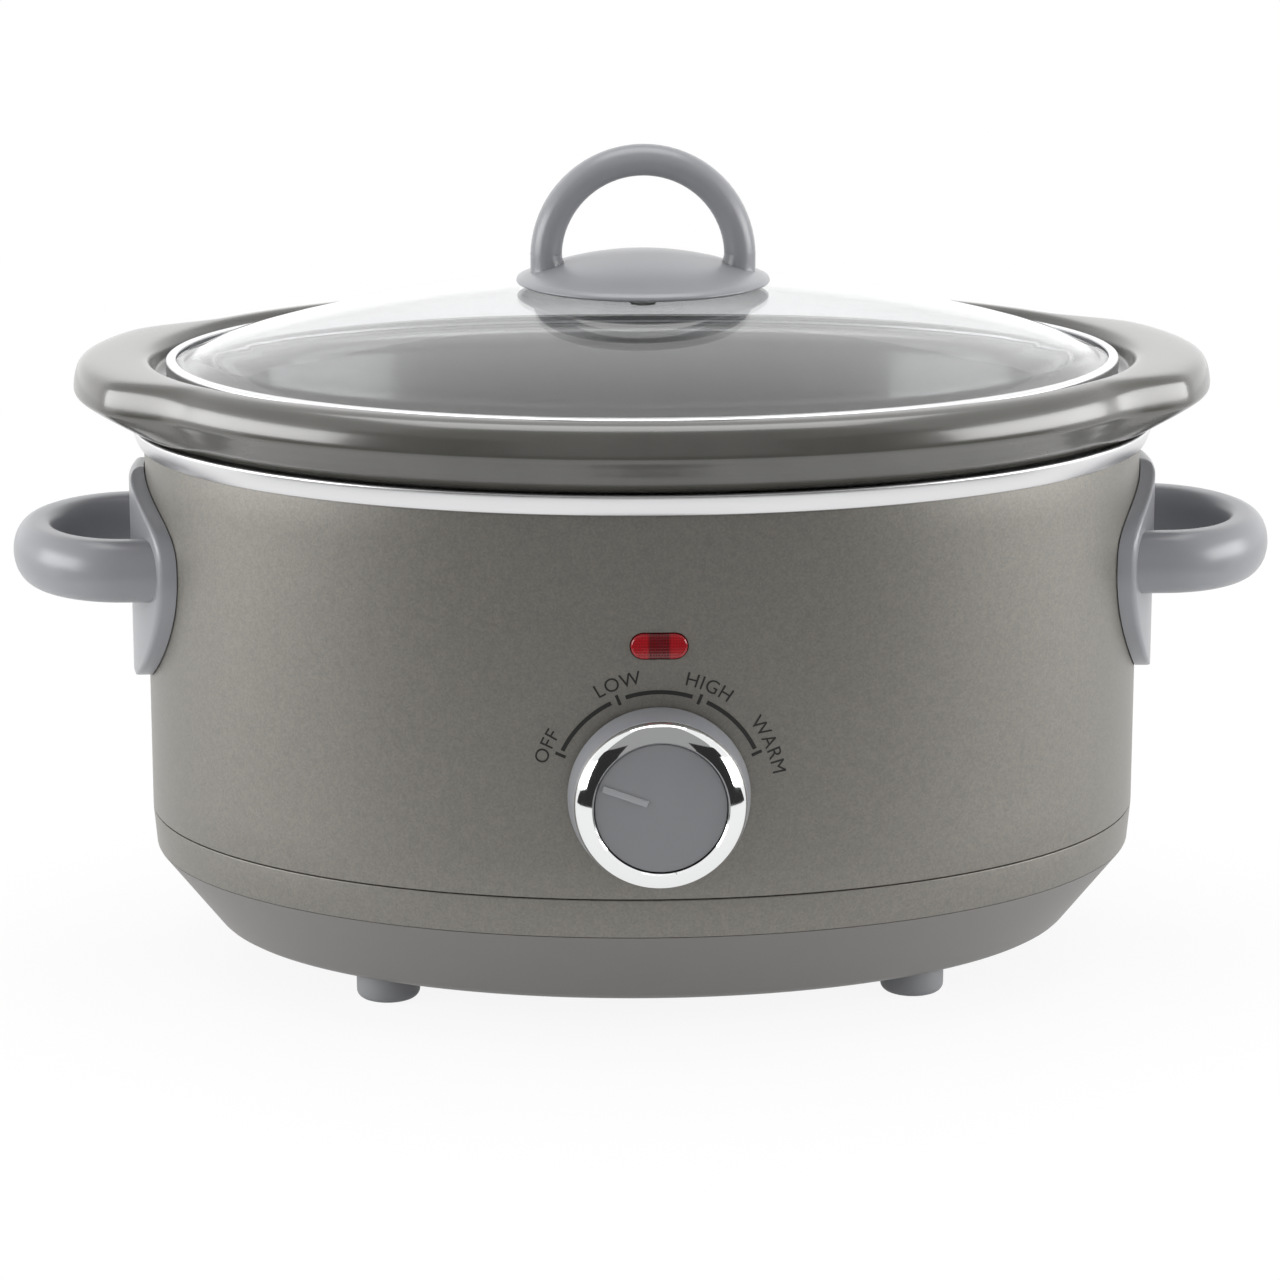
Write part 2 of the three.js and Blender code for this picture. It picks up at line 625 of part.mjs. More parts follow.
const crockProfile = [
  [0, potBottom, 0],
  [potFoot - CROCK_FOOT_ROUND, potBottom, 0],
  [potFoot - CROCK_FOOT_ROUND * CORNER, potBottom + CROCK_FOOT_ROUND * CORNER, 0],
  [potFoot, potBottom + CROCK_FOOT_ROUND, 0],
  [potTop, bandFoot - CROCK_NECK, 0],
  [linerInnerTop - 2 * FIT, bandFoot, 0],
  bandPoint(0, 0, 0.05),
  bandPoint(0.87, 0.28, 0.4),
  bandPoint(1, 0.52, 0.72),
  bandPoint(0.96, 1, 1.05),
  [rollRadius - CROCK_CREASE_ROUND, creaseLevel + CROCK_CREASE_ROUND, 1.05],
  [rollRadius, creaseLevel + CROCK_ROLL_HEIGHT * 0.42, 1],
  [rollRadius - CROCK_TOP_ROUND * 0.15, crockTop - CROCK_TOP_ROUND, 0.98],
  [rollRadius - CROCK_TOP_ROUND, crockTop - CROCK_TOP_ROUND * 0.2, 0.92],
  [lipRadius + CROCK_LIP_ROUND, crockTop, 0.1],
  [lipRadius + CROCK_LIP_ROUND * 0.3, crockTop - CROCK_LIP_ROUND * 0.3, 0],
  [lipRadius - CROCK_LIP_ROUND * 0.4, recessFloor + CROCK_LIP_ROUND * 0.4, 0],
  [lipRadius - CROCK_LIP_ROUND, recessFloor, 0],
  [mouth + CROCK_MOUTH_ROUND, recessFloor, 0],
  [mouth + CROCK_MOUTH_ROUND * 0.2, recessFloor - CROCK_MOUTH_ROUND * 0.4, 0],
  [mouth, recessFloor - CROCK_MOUTH_ROUND * 1.7, 0],
  [mouthFoot, potFloor + CROCK_FOOT_ROUND, 0],
  [mouthFoot - CROCK_FOOT_ROUND * CORNER, potFloor + CROCK_FOOT_ROUND * CORNER, 0],
  [mouthFoot - CROCK_FOOT_ROUND, potFloor, 0],
  [0, potFloor, 0],
];
function gripShare(y) {
  const t = THREE.MathUtils.clamp((Math.abs(y) - WING_HALF_WIDTH) / WING_BLEND, 0, 1);
  return 1 - t * t * (3 - 2 * t);
}
const crockBody = ovalTurned(crockProfile.map(([r, z]) => [r, z]));
const crockPoints = crockBody.attributes.position;
for (let i = 0; i < crockPoints.count; i += 1) {
  const grip = crockProfile[i % crockProfile.length][2];
  const x = crockPoints.getX(i);
  crockPoints.setX(i, x + Math.sign(x) * grip * WING_REACH * gripShare(crockPoints.getY(i)));
}
add("crock", crockBody, glaze());

// ---------------------------------------------------------------- lid rim and glass
const lidRimOuter = lipRadius - LID_CLEARANCE;
const lidRimInner = lidRimOuter - LID_RIM_WIDTH;
const rimHollow = lidRimOuter - LID_RIM_SHEET - LID_RIM_ROUND / 2;
add("lid_rim", ovalTurned(ring([
  [lidRimInner, lidRimBottom],
  [lidRimOuter - LID_RIM_ROUND, lidRimBottom],
  [lidRimOuter, lidRimBottom + LID_RIM_ROUND],
  [lidRimOuter, lidRimTop - LID_RIM_ROUND],
  [lidRimOuter - LID_RIM_ROUND, lidRimTop],
  [lidRimInner, lidRimTop],
  [lidRimInner, lidRimTop - LID_RIM_SHEET],
  [rimHollow, lidRimTop - LID_RIM_SHEET],
  [rimHollow, lidRimBottom + LID_RIM_SHEET],
  [lidRimInner, lidRimBottom + LID_RIM_SHEET],
])), brightSteel());

const glassRadius = rimHollow - FIT;
const domeRadius = lidRimInner - LID_RIM_LAP;
const domeHeight = (r) => domeTop - DOME_RISE * (r / domeRadius) ** DOME_POWER;
const domeRadii = Array.from({ length: DOME_STEPS }, (_, i) => (domeRadius * (DOME_STEPS - i)) / DOME_STEPS);
const lidHole = LID_SCREW_RADIUS + LID_HOLE_PLAY;
const glassBowl = ovalTurned([
  [0, domeTop - GLASS_THICKNESS],
  ...domeRadii.slice(1).reverse().map((r) => [r, domeHeight(r) - GLASS_THICKNESS]),
  [domeRadius, glassEdgeBottom],
  [glassRadius, glassEdgeBottom],
  [glassRadius, glassEdgeTop],
  ...domeRadii.map((r) => [r, domeHeight(r)]),
  [0, domeTop],
]);
const lidHolePost = post(lidHole, [0, 0], domeTop - 2 * GLASS_THICKNESS, domeTop + GLASS_THICKNESS);
add("lid_glass", cut(glassBowl, lidHolePost),
  new THREE.MeshStandardMaterial({ color: "#dfe4e6", roughness: 0.05, transparent: true, opacity: 0.35 }));

// ---------------------------------------------------------------- lid seal and handle
const gasketBottom = domeTop + FIT;
const gasketTop = gasketBottom + GASKET_HEIGHT;
const gasketRadius = HUB_RADIUS + GASKET_LIP;
add("lid_gasket", turned(ring([
  [lidHole, gasketBottom],
  [gasketRadius, gasketBottom],
  [gasketRadius, gasketTop],
  [lidHole, gasketTop],
])), rubber());

// A shallow domed disc with a central hub, and an arch of bar standing on it.
const hubBottom = gasketTop + FIT;
const discHeight = (r) => discTop - (DISC_RISE - DISC_EDGE) * (r / DISC_RADIUS) ** 2;
const discUnderside = (r) => Math.max(discHeight(r) - DISC_WALL, discEdge);
const discRadii = [0.94, 0.8, 0.55, 0.3].map((share) => share * DISC_RADIUS);
const disc = turned([
  [0, hubBottom],
  [HUB_RADIUS, hubBottom],
  [HUB_RADIUS, discUnderside(HUB_RADIUS)],
  ...discRadii.slice(0, -1).reverse().map((r) => [r, discUnderside(r)]),
  [DISC_RADIUS - DISC_EDGE, discEdge],
  [DISC_RADIUS, discEdge + DISC_EDGE / 2],
  ...discRadii.map((r) => [r, discHeight(r)]),
  [0, discTop],
], DISC_STEPS);
class Arch extends THREE.Curve {
  getPoint(t, target = new THREE.Vector3()) {
    const leg = archCentre - discEdge - DISC_EDGE;
    const total = 2 * leg + Math.PI * ARCH_RADIUS;
    const s = t * total;
    if (s < leg) {
      return target.set(-ARCH_RADIUS, 0, archCentre - leg + s);
    }
    if (s > total - leg) {
      return target.set(ARCH_RADIUS, 0, archCentre - (s - total + leg));
    }
    const angle = Math.PI - (s - leg) / ARCH_RADIUS;
    return target.set(ARCH_RADIUS * Math.cos(angle), 0, archCentre + ARCH_RADIUS * Math.sin(angle));
  }
}
const archBar = bar(new Arch(), ARCH_BAR_DEPTH / 2, ARCH_BAR_WIDTH / 2, 5, ARCH_STEPS);
const lidScrewTop = hubBottom + LID_SCREW_GRIP;
const threadHole = post(LID_SCREW_RADIUS + FIT, [0, 0], gasketBottom, lidScrewTop + FIT);
add("lid_handle", cut(join(disc, archBar), threadHole), greyPlastic());

// ---------------------------------------------------------------- seat and screw under the glass
// The glass falls away from the middle, so the seat's top edge does too.
const lidSeatTop = domeTop - GLASS_THICKNESS - FIT;
const seatEdgeTop = domeHeight(LID_SEAT_RADIUS) - GLASS_THICKNESS - FIT;
const lidSeatBottom = lidSeatTop - LID_SEAT_HEIGHT;
const lidHeadTop = lidSeatBottom - FIT;
add("lid_lower_seat", turned(ring([
  [lidHole, lidSeatBottom],
  [LID_SEAT_RADIUS - LID_SEAT_ROUND, lidSeatBottom],
  [LID_SEAT_RADIUS, lidSeatBottom + LID_SEAT_ROUND],
  [LID_SEAT_RADIUS, seatEdgeTop],
  [lidHole, lidSeatTop],
])), paleSilicone());
add("lid_screw", turned([
  [0, lidHeadTop - LID_HEAD_HEIGHT],
  [LID_HEAD_RADIUS * 0.8, lidHeadTop - LID_HEAD_HEIGHT],
  [LID_HEAD_RADIUS, lidHeadTop - LID_HEAD_HEIGHT / 2],
  [LID_HEAD_RADIUS, lidHeadTop],
  [LID_SCREW_RADIUS, lidHeadTop],
  [LID_SCREW_RADIUS, lidScrewTop],
  [0, lidScrewTop],
]), brightSteel());

// ---------------------------------------------------------------- side handles
const flangeMiddle = handleHeight + FLANGE_WIDEST;
const flangeLow = flangeMiddle - FLANGE_BELOW;
const flangeHigh = flangeMiddle + FLANGE_ABOVE;
const wallFace = HALF_DEPTH + FIT;
const flangeFace = wallFace + FLANGE_THICKNESS;
const flangeRing = ovalTurned(ring([
  [wallFace, flangeLow - FIT],
  [flangeFace, flangeLow - FIT],
  [flangeFace, flangeHigh + FIT],
  [wallFace, flangeHigh + FIT],
]));
const shellFilled = ovalBlock(wallFace, shellBottom, shellTop);
// Half-width of the shield, where share runs from 0 at its widest level to 1 at its top or bottom end.
function flangeHalfWidth(share, power, end) {
  return end + (FLANGE_HALF_WIDTH - end) * (1 - share ** power);
}
function flangeOutline() {
  const rightSide = [];
  for (let i = 0; i <= FLANGE_POINTS; i += 1) {
    const share = (2 * i) / FLANGE_POINTS - 1;
    const [reach, power, end] = share < 0
      ? [FLANGE_BELOW, FLANGE_LOWER_POWER, FLANGE_FOOT_WIDTH]
      : [FLANGE_ABOVE, FLANGE_UPPER_POWER, FLANGE_TOP_WIDTH];
    rightSide.push([flangeHalfWidth(Math.abs(share), power, end), flangeMiddle + share * reach]);
  }
  const leftSide = rightSide.map(([y, z]) => [-y, z]).reverse();
  return new THREE.Shape([...rightSide, ...leftSide].map(([y, z]) => new THREE.Vector2(y, z)));
}
// The loop: straight out of the flange on one side, half an oval round, and straight back.
class Loop extends THREE.Curve {
  constructor(side) {
    super();
    this.side = side;
  }
  getPoint(t, target = new THREE.Vector3()) {
    const bendX = HALF_LENGTH + FIT + FLANGE_THICKNESS;
    const bend = (Math.PI * (LOOP_REACH + LOOP_HALF_WIDTH)) / 2;
    const total = 2 * LOOP_ROOT + bend;
    const s = t * total;
    if (s < LOOP_ROOT) {
      return target.set(this.side * (bendX - LOOP_ROOT + s), -this.side * LOOP_HALF_WIDTH, handleHeight);
    }
    if (s > total - LOOP_ROOT) {
      return target.set(this.side * (bendX + total - LOOP_ROOT - s), this.side * LOOP_HALF_WIDTH, handleHeight);
    }
    const angle = (Math.PI * (s - LOOP_ROOT)) / bend - Math.PI / 2;
    const x = bendX + LOOP_REACH * Math.cos(angle);
    return target.set(this.side * x, this.side * LOOP_HALF_WIDTH * Math.sin(angle), handleHeight);
  }
}
for (const [name, side] of [["left", -1], ["right", 1]]) {
  const outline = new THREE.ExtrudeGeometry(flangeOutline(), { depth: HALF_LENGTH, bevelEnabled: false });
  outline.rotateX(Math.PI / 2).rotateZ(Math.PI / 2);
  outline.translate(side < 0 ? -1.5 * HALF_LENGTH : HALF_LENGTH / 2, 0, 0);
  const loop = bar(new Loop(side), LOOP_BAR_HEIGHT / 2, LOOP_BAR_WIDTH / 2, 6, LOOP_STEPS);
  const body = cut(join(overlapOf(flangeRing, outline), loop), shellFilled);
  const innerFace = side * (HALF_LENGTH - SHELL_WALL);
  const sideRod = (radius, from, to, z, steps) =>
    rod("x", radius, Math.abs(to - from), [(from + to) / 2, 0, z], steps);
  const bossEnd = innerFace + side * (SHELL_WALL + FIT + HANDLE_BOSS_ROOT);
  const boreEnd = innerFace + side * (HANDLE_SCREW_GRIP + FIT);
  const bosses = handleFixings.map(([, z]) => sideRod(HANDLE_BOSS_RADIUS, innerFace, bossEnd, z));
  const bores = handleFixings.map(([, z]) =>
    sideRod(HANDLE_SCREW_RADIUS + FIT, innerFace - side * FIT, boreEnd, z, BORE_STEPS));
  add(`${name}_handle`, cut(join(body, ...bosses), ...bores), greyPlastic());

  const washerFace = innerFace - side * (FIT + endBow(WASHER_RADIUS));
  const washerBack = washerFace - side * WASHER_THICKNESS;
  const headFace = washerBack - side * FIT;
  const headBack = headFace - side * HANDLE_HEAD_HEIGHT;
  for (const [level, z] of handleFixings) {
    add(`${name}_handle_washer_${level}`, cut(
      sideRod(WASHER_RADIUS, washerFace, washerBack, z),
      sideRod(HANDLE_SCREW_RADIUS + FIT, innerFace, headBack, z, BORE_STEPS),
    ), zincSteel());
    add(`${name}_handle_screw_${level}`, join(
      sideRod(HANDLE_HEAD_RADIUS, headFace, headBack, z, BORE_STEPS),
      sideRod(HANDLE_SCREW_RADIUS, headBack, innerFace + side * HANDLE_SCREW_GRIP, z, BORE_STEPS),
    ), zincSteel());
  }
}

// ---------------------------------------------------------------- knob
const knobFace = KNOB_GAP + KNOB_DEPTH;
const socketEnd = knobFace - KNOB_FACE_WALL;
const socketMouth = BUSH_PROUD + 2 * FIT;
const socketRadius = SHAFT_RADIUS + FIT;
add("knob_body", facingFront(turned([
  [0, knobFace],
  [KNOB_FRONT_RADIUS - KNOB_EDGE, knobFace],
  [KNOB_FRONT_RADIUS, knobFace - KNOB_EDGE],
  [KNOB_RADIUS, KNOB_GAP + KNOB_SKIRT],
  [KNOB_RADIUS, KNOB_GAP],
  [KNOB_RADIUS - KNOB_WALL, KNOB_GAP],
  [KNOB_FRONT_RADIUS - KNOB_WALL, knobFace - KNOB_WALL],
  [KNOB_BOSS_RADIUS, knobFace - KNOB_WALL],
  [KNOB_BOSS_RADIUS, socketMouth],
  [socketRadius, socketMouth],
  [socketRadius, socketEnd],
  [0, socketEnd],
], DISC_STEPS), knobHeight), greyPlastic());

const ringBack = knobFace + FIT;
const ringInner = CAP_RADIUS + FIT;
add("knob_ring", facingFront(turned(ring([
  [ringInner, ringBack],
  [RING_RADIUS, ringBack],
  [RING_RADIUS, ringBack + RING_RISE * 0.5],
  [RING_RADIUS * 0.96, ringBack + RING_RISE * 0.82],
  [(RING_RADIUS + ringInner) / 2, ringBack + RING_RISE],
  [ringInner * 1.03, ringBack + RING_RISE * 0.9],
  [ringInner, ringBack + RING_RISE * 0.75],
]), DISC_STEPS), knobHeight), chrome());

const capFront = ringBack + CAP_RISE;
const capDisc = turned([
  [0, ringBack],
  [CAP_RADIUS, ringBack],
  [CAP_RADIUS, capFront - CAP_EDGE],
  [CAP_RADIUS - CAP_EDGE, capFront],
  [0, capFront],
], DISC_STEPS);
const pointer = block([POINTER_START, POINTER_START + POINTER_LENGTH], about(0, POINTER_WIDTH),
  [capFront - CAP_EDGE, capFront + POINTER_RISE]);
pointer.rotateZ(THREE.MathUtils.degToRad(KNOB_REST_ANGLE));
add("knob_cap", facingFront(join(capDisc, pointer), knobHeight), greyPlastic());

// ---------------------------------------------------------------- rotary switch
const switchFront = -HALF_DEPTH + SHELL_WALL + FIT + frontBow(SWITCH_WIDTH / 2);
const switchBack = switchFront + SWITCH_DEPTH;
const shaftBack = switchBack - SWITCH_BACK_WALL;
const shaftFront = -HALF_DEPTH - socketEnd + FIT;
const bushFront = -HALF_DEPTH - BUSH_PROUD;
const switchLow = knobHeight - SWITCH_TALL / 2;
const switchRod = (radius, front, back, steps) =>
  rod("y", radius, back - front, [0, (front + back) / 2, knobHeight], steps);
const tabY = switchBack - TAB_SETBACK;
const tabEnd = switchLow - TAB_LENGTH;
const tabs = [-1, 0, 1].map((step) =>
  block(about(step * TAB_PITCH, TAB_WIDTH), about(tabY, TAB_THICKNESS), [tabEnd, switchLow + BUSH_ROOT]));
add("rotary_switch", cut(join(
  block(about(0, SWITCH_WIDTH), [switchFront, switchBack], about(knobHeight, SWITCH_TALL)),
  switchRod(BUSH_RADIUS, bushFront, switchFront + BUSH_ROOT),
  ...tabs,
), switchRod(socketRadius, shaftFront, shaftBack + FIT)), blackPlastic());
add("switch_shaft", switchRod(SHAFT_RADIUS, shaftFront, shaftBack), zincSteel());
const nutFront = -HALF_DEPTH - FIT - SWITCH_NUT_HEIGHT;
add("switch_nut", cut(
  switchRod(SWITCH_NUT_RADIUS, nutFront, -HALF_DEPTH - FIT, 6),
  switchRod(BUSH_RADIUS + FIT, nutFront - FIT, -HALF_DEPTH),
), zincSteel());

// ---------------------------------------------------------------- indicator lamp
const flangeLength = LENS_LENGTH + 2 * LENS_FLANGE_OUT;
const flangeWidth = LENS_WIDTH + 2 * LENS_FLANGE_OUT;
const lensBack = -HALF_DEPTH + SHELL_WALL + FIT + frontBow(flangeLength / 2);
const lensFlangeBack = lensBack + LENS_FLANGE;
add("indicator_lens", join(
  slab(stadium(LENS_LENGTH, LENS_WIDTH, lensHeight), -HALF_DEPTH - LENS_PROUD, lensBack + LENS_FLANGE / 2),
  slab(stadium(flangeLength, flangeWidth, lensHeight), lensBack, lensFlangeBack),
), new THREE.MeshStandardMaterial({ color: "#c41421", roughness: 0.2, transparent: true, opacity: 0.8 }));

const holderFront = lensFlangeBack + FIT;
const holderBack = holderFront + HOLDER_DEPTH;
const holderFloor = holderBack - HOLDER_WALL;
add("lamp_holder", cut(
  block(about(0, flangeLength), [holderFront, holderBack], about(lensHeight, flangeWidth)),
  block(about(0, flangeLength - 2 * HOLDER_WALL), [holderFront - FIT, holderFloor],
    about(lensHeight, flangeWidth - 2 * HOLDER_WALL)),
), blackPlastic());
const lampAxis = holderFloor - FIT - LAMP_RADIUS;
add("neon_lamp", rod("x", LAMP_RADIUS, LAMP_LENGTH, [0, lampAxis, lensHeight], BORE_STEPS),
  finish("#f2b27a", 0.2, 0));

// ---------------------------------------------------------------- heater band round the liner
const heaterSkin = (low, high, gap, thickness) => ovalTurned(ring([
  [linerRadiusAt(low) + gap, low],
  [linerRadiusAt(low) + gap + thickness, low],
  [linerRadiusAt(high) + gap + thickness, high],
  [linerRadiusAt(high) + gap, high],
]));
const heaterTop = heaterLow + HEATER_TALL;
add("heater_band", heaterSkin(heaterLow, heaterTop, FIT, HEATER_THICKNESS), finish("#a9a294", 0.7, 0.2));
const strapLow = heaterLow + (HEATER_TALL - STRAP_TALL) / 2;
add("heater_strap", heaterSkin(strapLow, strapLow + STRAP_TALL, 2 * FIT + HEATER_THICKNESS, STRAP_THICKNESS),
  zincSteel());

// ---------------------------------------------------------------- bridge, tie bolt and heat shield
// The bridge is welded under the liner; its middle is pressed down to take the nut of the tie bolt.
const bridgeTop = linerFloor - FIT;
const bridgeLow = bridgeTop - FIT - TIE_END - NUT_HEIGHT - FIT - BRIDGE_SHEET;
const nutBottom = bridgeLow + BRIDGE_SHEET + FIT;
const tieTop = nutBottom + NUT_HEIGHT + TIE_END;
const bridgeEdge = BRIDGE_LENGTH / 2;
const bridgeBend = bridgeEdge * 0.5;
const bridgeFlat = bridgeEdge * 0.4;
const bridgeRight = [
  [bridgeFlat, bridgeLow],
  [bridgeBend, bridgeTop - BRIDGE_SHEET],
  [bridgeEdge, bridgeTop - BRIDGE_SHEET],
  [bridgeEdge, bridgeTop],
  [bridgeBend - BRIDGE_SHEET, bridgeTop],
  [bridgeFlat - BRIDGE_SHEET, bridgeLow + BRIDGE_SHEET],
];
const bridgeLeft = bridgeRight.map(([x, z]) => [-x, z]).reverse();
const bridgeShape = new THREE.Shape([...bridgeRight, ...bridgeLeft].map(([x, z]) => new THREE.Vector2(x, z)));
add("liner_bridge", cut(
  slab(bridgeShape, -BRIDGE_WIDTH / 2, BRIDGE_WIDTH / 2),
  post(tieBore, [0, 0], bridgeLow - FIT, bridgeTop),
), zincSteel());

const tieWasherTop = baseBottom - FIT;
const tieWasherBottom = tieWasherTop - TIE_WASHER_THICKNESS;
const tieHeadTop = tieWasherBottom - FIT;
const tieHeadBottom = tieHeadTop - TIE_HEAD_HEIGHT;
add("tie_washer", turned(ring([
  [tieBore, tieWasherBottom],
  [TIE_WASHER_RADIUS, tieWasherBottom],
  [TIE_WASHER_RADIUS, tieWasherTop],
  [tieBore, tieWasherTop],
])), zincSteel());
add("tie_bolt", turned([
  [0, tieHeadBottom],
  [TIE_HEAD_RADIUS - TIE_HEAD_EDGE, tieHeadBottom],
  [TIE_HEAD_RADIUS, tieHeadBottom + TIE_HEAD_EDGE],
  [TIE_HEAD_RADIUS, tieHeadTop],
  [TIE_RADIUS, tieHeadTop],
  [TIE_RADIUS, tieTop],
  [0, tieTop],
]), zincSteel());
add("tie_nut", cut(
  rod("z", NUT_RADIUS, NUT_HEIGHT, [0, 0, nutBottom + NUT_HEIGHT / 2], 6),
  post(tieBore, [0, 0], nutBottom - FIT, tieTop),
), zincSteel());

const shieldLow = baseBottom + SHIELD_ABOVE_BASE;
const shieldRadius = HALF_DEPTH - SHIELD_INSET;
add("heat_shield", cut(ovalTurned([
  [0, shieldLow],
  [shieldRadius - SHIELD_LIP, shieldLow],
  [shieldRadius, shieldLow + SHIELD_LIP],
  [shieldRadius - SHIELD_THICKNESS, shieldLow + SHIELD_LIP],
  [shieldRadius - SHIELD_LIP - SHIELD_THICKNESS / 2, shieldLow + SHIELD_THICKNESS],
  [0, shieldLow + SHIELD_THICKNESS],
]), post(tieBore, [0, 0], shieldLow - FIT, shieldLow + SHIELD_LIP)), finish("#c2c4c5", 0.35, 1));
add("shield_spacer", turned(ring([
  [tieBore, tieBossTop + FIT],
  [SPACER_RADIUS, tieBossTop + FIT],
  [SPACER_RADIUS, shieldLow - FIT],
  [tieBore, shieldLow - FIT],
])), finish("#d8d4c8", 0.6, 0));

// ---------------------------------------------------------------- cord gland and terminal block
const glandInner = shellInner - FIT - frontBow(GLAND_RADIUS + GLAND_BARB);
const glandShape = turned(ring([
  [CORD_BORE, wallFace + GLAND_FLANGE],
  [GLAND_FLANGE_RADIUS - GLAND_BARB, wallFace + GLAND_FLANGE],
  [GLAND_FLANGE_RADIUS, wallFace + GLAND_FLANGE / 2],
  [GLAND_FLANGE_RADIUS, wallFace],
  [GLAND_RADIUS, wallFace],
  [GLAND_RADIUS, glandInner],
  [GLAND_RADIUS + GLAND_BARB, glandInner],
  [GLAND_RADIUS + GLAND_BARB / 2, glandInner - GLAND_TAIL],
  [CORD_BORE, glandInner - GLAND_TAIL],
]));
add("cord_gland", glandShape.rotateX(-Math.PI / 2).translate(0, 0, glandHeight), blackPlastic());

const terminalBottom = terminalRest + FIT;
const terminalTop = terminalBottom + TERMINAL_TALL;
const wayFloor = terminalBottom + TERMINAL_TALL / 2;
const wayPitch = TERMINAL_LENGTH / 3;
const ways = [["live", TERMINAL_X + wayPitch], ["earth", TERMINAL_X], ["neutral", TERMINAL_X - wayPitch]];
add("terminal_block", cut(
  block(about(TERMINAL_X, TERMINAL_LENGTH), about(TERMINAL_Y, TERMINAL_WIDTH), [terminalBottom, terminalTop]),
  ...ways.map(([, x]) => post(WAY_RADIUS, [x, TERMINAL_Y], wayFloor, terminalTop + FIT, BORE_STEPS)),
), finish("#e4e1d8", 0.5, 0));
const wayScrewBottom = wayFloor + FIT;
for (const [way, x] of ways) {
  const wayScrewTop = wayScrewBottom + WAY_SCREW_HEIGHT;
  const screw = post(WAY_RADIUS - FIT, [x, TERMINAL_Y], wayScrewBottom, wayScrewTop, BORE_STEPS);
  add(`terminal_screw_${way}`, screw, finish("#c8a24e", 0.35, 1));
}

// ---------------------------------------------------------------- thermal fuse under the liner
const fuseAxis = bridgeTop - FUSE_RADIUS;
const fuseHollow = FUSE_RADIUS + FIT;
const clipEdge = fuseHollow + CLIP_SHEET;
const tabBack = FUSE_Y + clipEdge + CLIP_TAB;
add("thermal_fuse", rod("x", FUSE_RADIUS, FUSE_LENGTH, [FUSE_X, FUSE_Y, fuseAxis], BORE_STEPS),
  finish("#e8e6df", 0.5, 0));
add("fuse_clip", cut(
  block(about(FUSE_X, CLIP_WIDTH), [FUSE_Y - clipEdge, tabBack], [fuseAxis - clipEdge, bridgeTop]),
  block(about(FUSE_X, FUSE_LENGTH), about(FUSE_Y, 2 * fuseHollow), [fuseAxis - fuseHollow, linerFloor]),
  block(about(FUSE_X, FUSE_LENGTH), [FUSE_Y + clipEdge, tabBack + FIT],
    [fuseAxis - 2 * clipEdge, bridgeTop - CLIP_SHEET]),
), zincSteel());

// ---------------------------------------------------------------- inner leads
function lead(name, points, colour) {
  const curve = new THREE.CatmullRomCurve3(points.map((p) => new THREE.Vector3(...p)), false, "centripetal");
  add(name, bar(curve, LEAD_RADIUS, LEAD_RADIUS, 3, LEAD_STEPS), finish(colour, 0.5, 0));
}
const tabTip = tabEnd - FIT;
const heaterEdge = heaterLow - FIT;
const heaterX = linerRadiusAt(heaterLow) + OVAL_SHIFT + FIT + HEATER_THICKNESS / 2;
const leadLevel = shieldLow - 0.6 * LEAD_PACE;
const terminalFace = TERMINAL_Y - TERMINAL_WIDTH / 2 - FIT;
const wireEntry = terminalTop - TERMINAL_TALL / 3;
const shieldEdgeY = shieldRadius + 0.75 * LEAD_PACE;
const channelX = (linerRadiusFoot + shellInner) / 2 + OVAL_SHIFT;
// The leads are laid by hand, in paces: the length of each straight stretch at their ends.
const pace = (count) => count * LEAD_PACE;
// Up the hollow wall at one end of the oval, from under the heat shield to the heater's lower edge.
const upTheEnd = (side) => [
  [side * (channelX - pace(3.2)), side * pace(-1.8), leadLevel],
  [side * (channelX - pace(1.4)), side * pace(-0.5), leadLevel + pace(0.5)],
  [side * channelX, 0, linerFloor],
  [side * (channelX + LEAD_RADIUS), 0, heaterEdge - pace(3)],
  [side * (heaterX + LEAD_RADIUS), 0, heaterEdge - pace(1)],
  [side * heaterX, 0, heaterEdge],
];
lead("live_lead", [
  [TERMINAL_X + wayPitch, terminalFace, wireEntry],
  [TERMINAL_X + wayPitch, terminalFace - pace(1.5), leadLevel],
  [pace(-3), 0, leadLevel - pace(0.3)],
  [pace(-2), pace(-7.5), leadLevel],
  [pace(-1.5), -shieldEdgeY, leadLevel],
  [-TAB_PITCH, tabY + pace(0.25), shieldLow + pace(1)],
  [-TAB_PITCH, tabY, tabTip - pace(1)],
  [-TAB_PITCH, tabY, tabTip],
], "#7a4a2a");
lead("neutral_lead", [
  [TERMINAL_X - wayPitch, terminalFace, wireEntry],
  [TERMINAL_X - wayPitch, terminalFace - pace(1.3), leadLevel - pace(0.2)],
  [pace(-10.8), pace(3), leadLevel - pace(0.2)],
  ...upTheEnd(-1),
], "#3f5f9c");
lead("heater_lead", [
  [TAB_PITCH, tabY, tabTip],
  [TAB_PITCH, tabY, tabTip - pace(1)],
  [TAB_PITCH + LEAD_RADIUS, tabY + pace(0.25), shieldLow + pace(1)],
  [pace(2.8), -shieldEdgeY, leadLevel],
  [pace(7.8), pace(-6.5), leadLevel],
  ...upTheEnd(1),
], "#8c3a32");

export default cooker;
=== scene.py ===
# %% [markdown]
# # The looks of an oval slow cooker
# The construction comes first: every wall, screw and lead is already modelled at its real size.
# Loading it gives a fixed frame. This lesson then makes the pieces that are seen as smooth, finely
# rounded meshes that sit where the plain ones are, and gives every piece a finish.

# %% Load the construction
import json
import math

import bmesh
import bpy
from mathutils import Matrix, Vector


